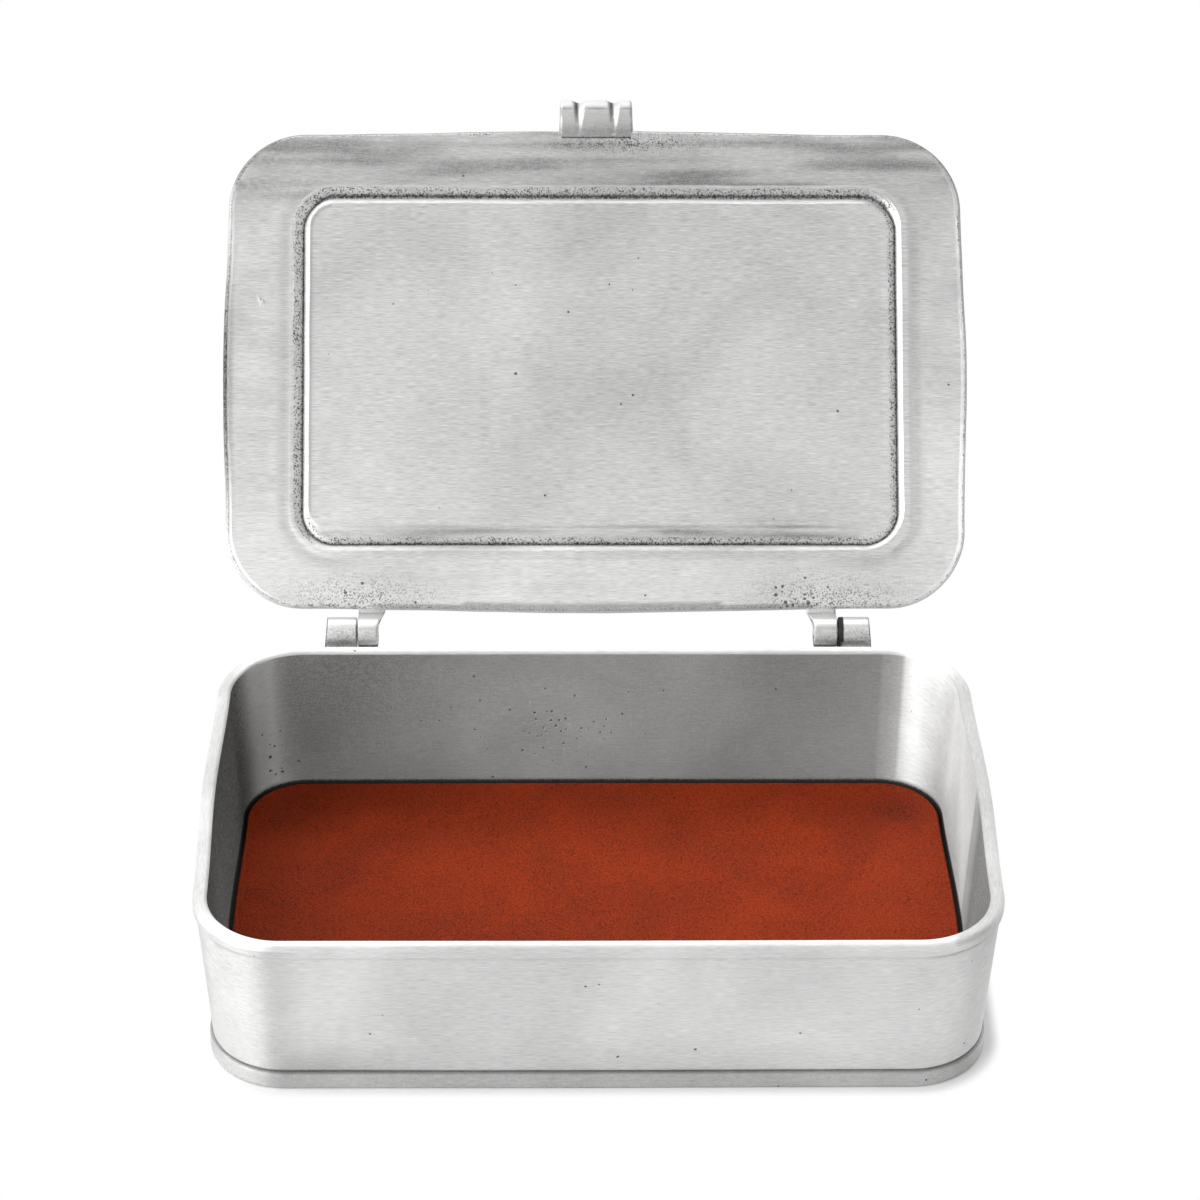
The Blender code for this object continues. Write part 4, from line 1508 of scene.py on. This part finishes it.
def make_leather():
    """Tan leather: pebbled grain, fine creases between the pebbles, and tones from handling."""
    material, tree, shader = new_material("tan_leather")
    place = add_node(tree, "ShaderNodeTexCoord")["Object"]
    cloud = place_group(tree, hand_clouds, {"Vector": place, "Clouds per metre": 60.0})["Tone"]
    cells = {"Vector": wobbled(tree, place, 500.0, 0.8 * mm), "Scale": 1500.0}
    pebbles = add_node(tree, "ShaderNodeTexVoronoi", cells, feature="DISTANCE_TO_EDGE")["Distance"]
    crease = remap(tree, pebbles, 0.0, 0.12, 1.0, 0.0)
    fine = noise_in(tree, place, 3600.0)["Fac"]
    tone = swung(tree, cloud, 0.7, 1.0)
    tone = swung(tree, fine, 1.5, tone)
    tone = scaled(tree, crease, -0.35, tone)
    tone = scaled(tree, painted(tree, "handled"), -0.6, tone)
    mirrored = add_node(tree, "ShaderNodeLightPath")["Is Glossy Ray"]
    height = product(tree, scaled(tree, crease, -0.5, fine), 0.1 * mm)
    feed(tree, shader, {
        "Base Color": mixed_colour(tree, mirrored, toned(tree, leather_colour, tone), seen_in_metal),
        "Roughness": swung(tree, cloud, 0.3, 0.6),
        "Normal": bumped(tree, height),
        "Specular IOR Level": 0.08,
    })
    return material


tan_leather = make_leather()
print("material", tan_leather.name)

# %% Leather liner
liner_low, liner_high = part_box("leather_liner")
liner_inset = liner_low.x - wall_low.x - 0.25 * mm
liner_round = 0.45 * mm
liner_swell = 0.12 * mm
dent_place = Vector((58.0 * mm, 33.0 * mm))
dent_reach = 5.0 * mm
dent_depth = 0.3 * mm


def liner_ring(inset, height):
    """A level of the liner, drawn in from its outline."""
    whole = liner_inset + inset
    sizes = [size - whole for size in plan_outline]
    return plan_ring(*sizes, (plan_sizes["Side bow"], plan_sizes["Front bow"]), height)


def in_dent(spot):
    """1 in the middle of the thumbed dent, fading out round it."""
    return bell((spot.xy - dent_place).length, 0.0, dent_reach)


def liner_rings():
    """The liner from its underside up over the soft edge to the middle of its top."""
    top = liner_high.z
    under = liner_low.z
    rings = [shrunk(liner_ring(liner_round, under), share, (0.0, 0.0), under) for share in (0.01, 0.5)]
    for height, start in ((under + liner_round, 270), (top - liner_round, 180)):
        corner = arc((liner_round, height), liner_round, start, start - 90, 5)
        rings += [liner_ring(inset, level) for inset, level in corner]
    top_start = len(rings) - 1
    rings += [liner_ring(inset * mm, top) for inset in (0.8, 1.5, 3.0, 5.0, 7.0)]
    last = rings[-1]
    rings += [shrunk(last, k / 26, (0.0, 0.0), top) for k in range(25, 0, -1)]
    rings.append(shrunk(last, 0.1 / 26, (0.0, 0.0), top))
    for ring in rings[top_start:]:
        for point in ring:
            swell = 0.5 + 0.5 * noise.noise(Vector((point.x, point.y, 0.0)) / (22 * mm))
            point.z -= dent_depth * in_dent(point) + liner_swell * swell
    return rings


rings = liner_rings()
liner = to_object("leather_lining", loft(rings, flat_rows=range(len(rings))), tan_leather)
paint(liner, handled=lambda spot, normal: 0.5 * in_dent(spot))
hand_over(liner, "box", "leather", "leather_liner")

# %% [markdown]
# The box stands on a white floor. Seen by the camera, the floor is plain white but for a narrow soft shadow
# round the foot, so the floor's own shading is blended in only within a few millimetres of it. Seen by
# reflection it is white too. The distance to the foot is worked out from the floor's own coordinates.

# %% Floor
floor_reach = 4.0
shadow_start = 0.3 * mm
shadow_end = 2.7 * mm


def make_floor_material():
    """White, with the shaded floor showing through near the foot."""
    material, tree, shader = new_material("white_floor")
    feed(tree, shader, {"Base Color": (0.8, 0.8, 0.8, 1.0), "Roughness": 0.9})
    parts = add_node(tree, "ShaderNodeSeparateXYZ", {0: add_node(tree, "ShaderNodeTexCoord")["Object"]})
    corner = plan_sizes["Corner radius"] - foot_inset
    away = []
    for axis, half in (("X", base_high.x), ("Y", base_high.y)):
        beyond = maths(tree, "SUBTRACT", maths(tree, "ABSOLUTE", parts[axis]), half - corner)
        away.append(maths(tree, "MAXIMUM", beyond, 0.0))
    square = scaled(tree, away[0], away[0], product(tree, away[1], away[1]))
    distance = maths(tree, "SUBTRACT", maths(tree, "SQRT", square), corner)
    plain = remap(tree, distance, shadow_start, shadow_end)
    light = add_node(tree, "ShaderNodeLightPath")
    seen = maths(tree, "MAXIMUM", light["Is Glossy Ray"], light["Is Transmission Ray"])
    seen = product(tree, maths(tree, "MAXIMUM", seen, light["Is Camera Ray"]), plain)
    white = add_node(tree, "ShaderNodeEmission", {"Color": (1.0, 1.0, 1.0, 1.0), "Strength": 1.0})[0]
    blend = add_node(tree, "ShaderNodeMixShader", {0: seen, 1: shader.outputs[0], 2: white})[0]
    feed(tree, tree.nodes["Material Output"], {"Surface": blend})
    return material


floor_skin = bmesh.new()
bmesh.ops.create_grid(floor_skin, x_segments=1, y_segments=1, size=floor_reach)
floor = to_object("floor", floor_skin, make_floor_material())
floor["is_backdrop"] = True
print("floor", 2 * floor_reach, "m wide")

# %% [markdown]
# The light is a plain studio: a white world, brighter behind the box than in front, and six soft lamps. Three
# stand at the left, so slopes that face that way shine. One hangs behind, and two weak ones at the front and
# the right keep the front wall and the lid pale.

# %% World and lamps
world_in_front = 0.22
world_behind = 0.95
world = bpy.data.worlds.new("studio")
world.use_nodes = True
sky = world.node_tree
way = add_node(sky, "ShaderNodeSeparateXYZ", {0: add_node(sky, "ShaderNodeTexCoord")["Generated"]})["Y"]
strength = remap(sky, way, 0.0, 0.5, world_in_front, world_behind)
feed(sky, sky.nodes["Background"], {"Color": (1.0, 1.0, 1.0, 1.0), "Strength": strength})
bpy.context.scene.world = world

lamp_aim = Vector((0.0, 0.0, 0.04))
lamps = (
    ("left_front", (-0.85, -0.75, 0.5), 0.8, 0.8, 10.3),
    ("left_high", (-0.75, 0.0, 0.95), 0.8, 0.8, 4.0),
    ("left_low", (-1.15, 0.0, 0.35), 0.8, 0.8, 5.5),
    ("behind", (0.0, 0.68, 1.12), 1.2, 0.55, 6.0),
    ("front", (0.0, -1.0, 0.72), 1.0, 0.5, 2.85),
    ("right_front", (0.75, -0.75, 0.75), 0.8, 0.8, 2.7),
)
for name, place, width, height, watts in lamps:
    lamp_data = bpy.data.lights.new(name, "AREA")
    lamp_data.shape = "RECTANGLE"
    lamp_data.size = width
    lamp_data.size_y = height
    lamp_data.energy = watts
    lamp = bpy.data.objects.new(name, lamp_data)
    bpy.context.scene.collection.objects.link(lamp)
    lamp.location = place
    lamp.rotation_euler = (lamp_aim - Vector(place)).to_track_quat("-Z", "Y").to_euler()
    print("lamp", name, watts, "W")
bpy.context.scene.view_settings.view_transform = "Standard"

# %% [markdown]
# Last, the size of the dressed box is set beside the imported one's, since nothing here may change it.

# %% Compare sizes and finish
shown_low, shown_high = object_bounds()
print("packed", in_mm(cad_high - cad_low), "mm")
print("dressed", in_mm(shown_high - shown_low), "mm")
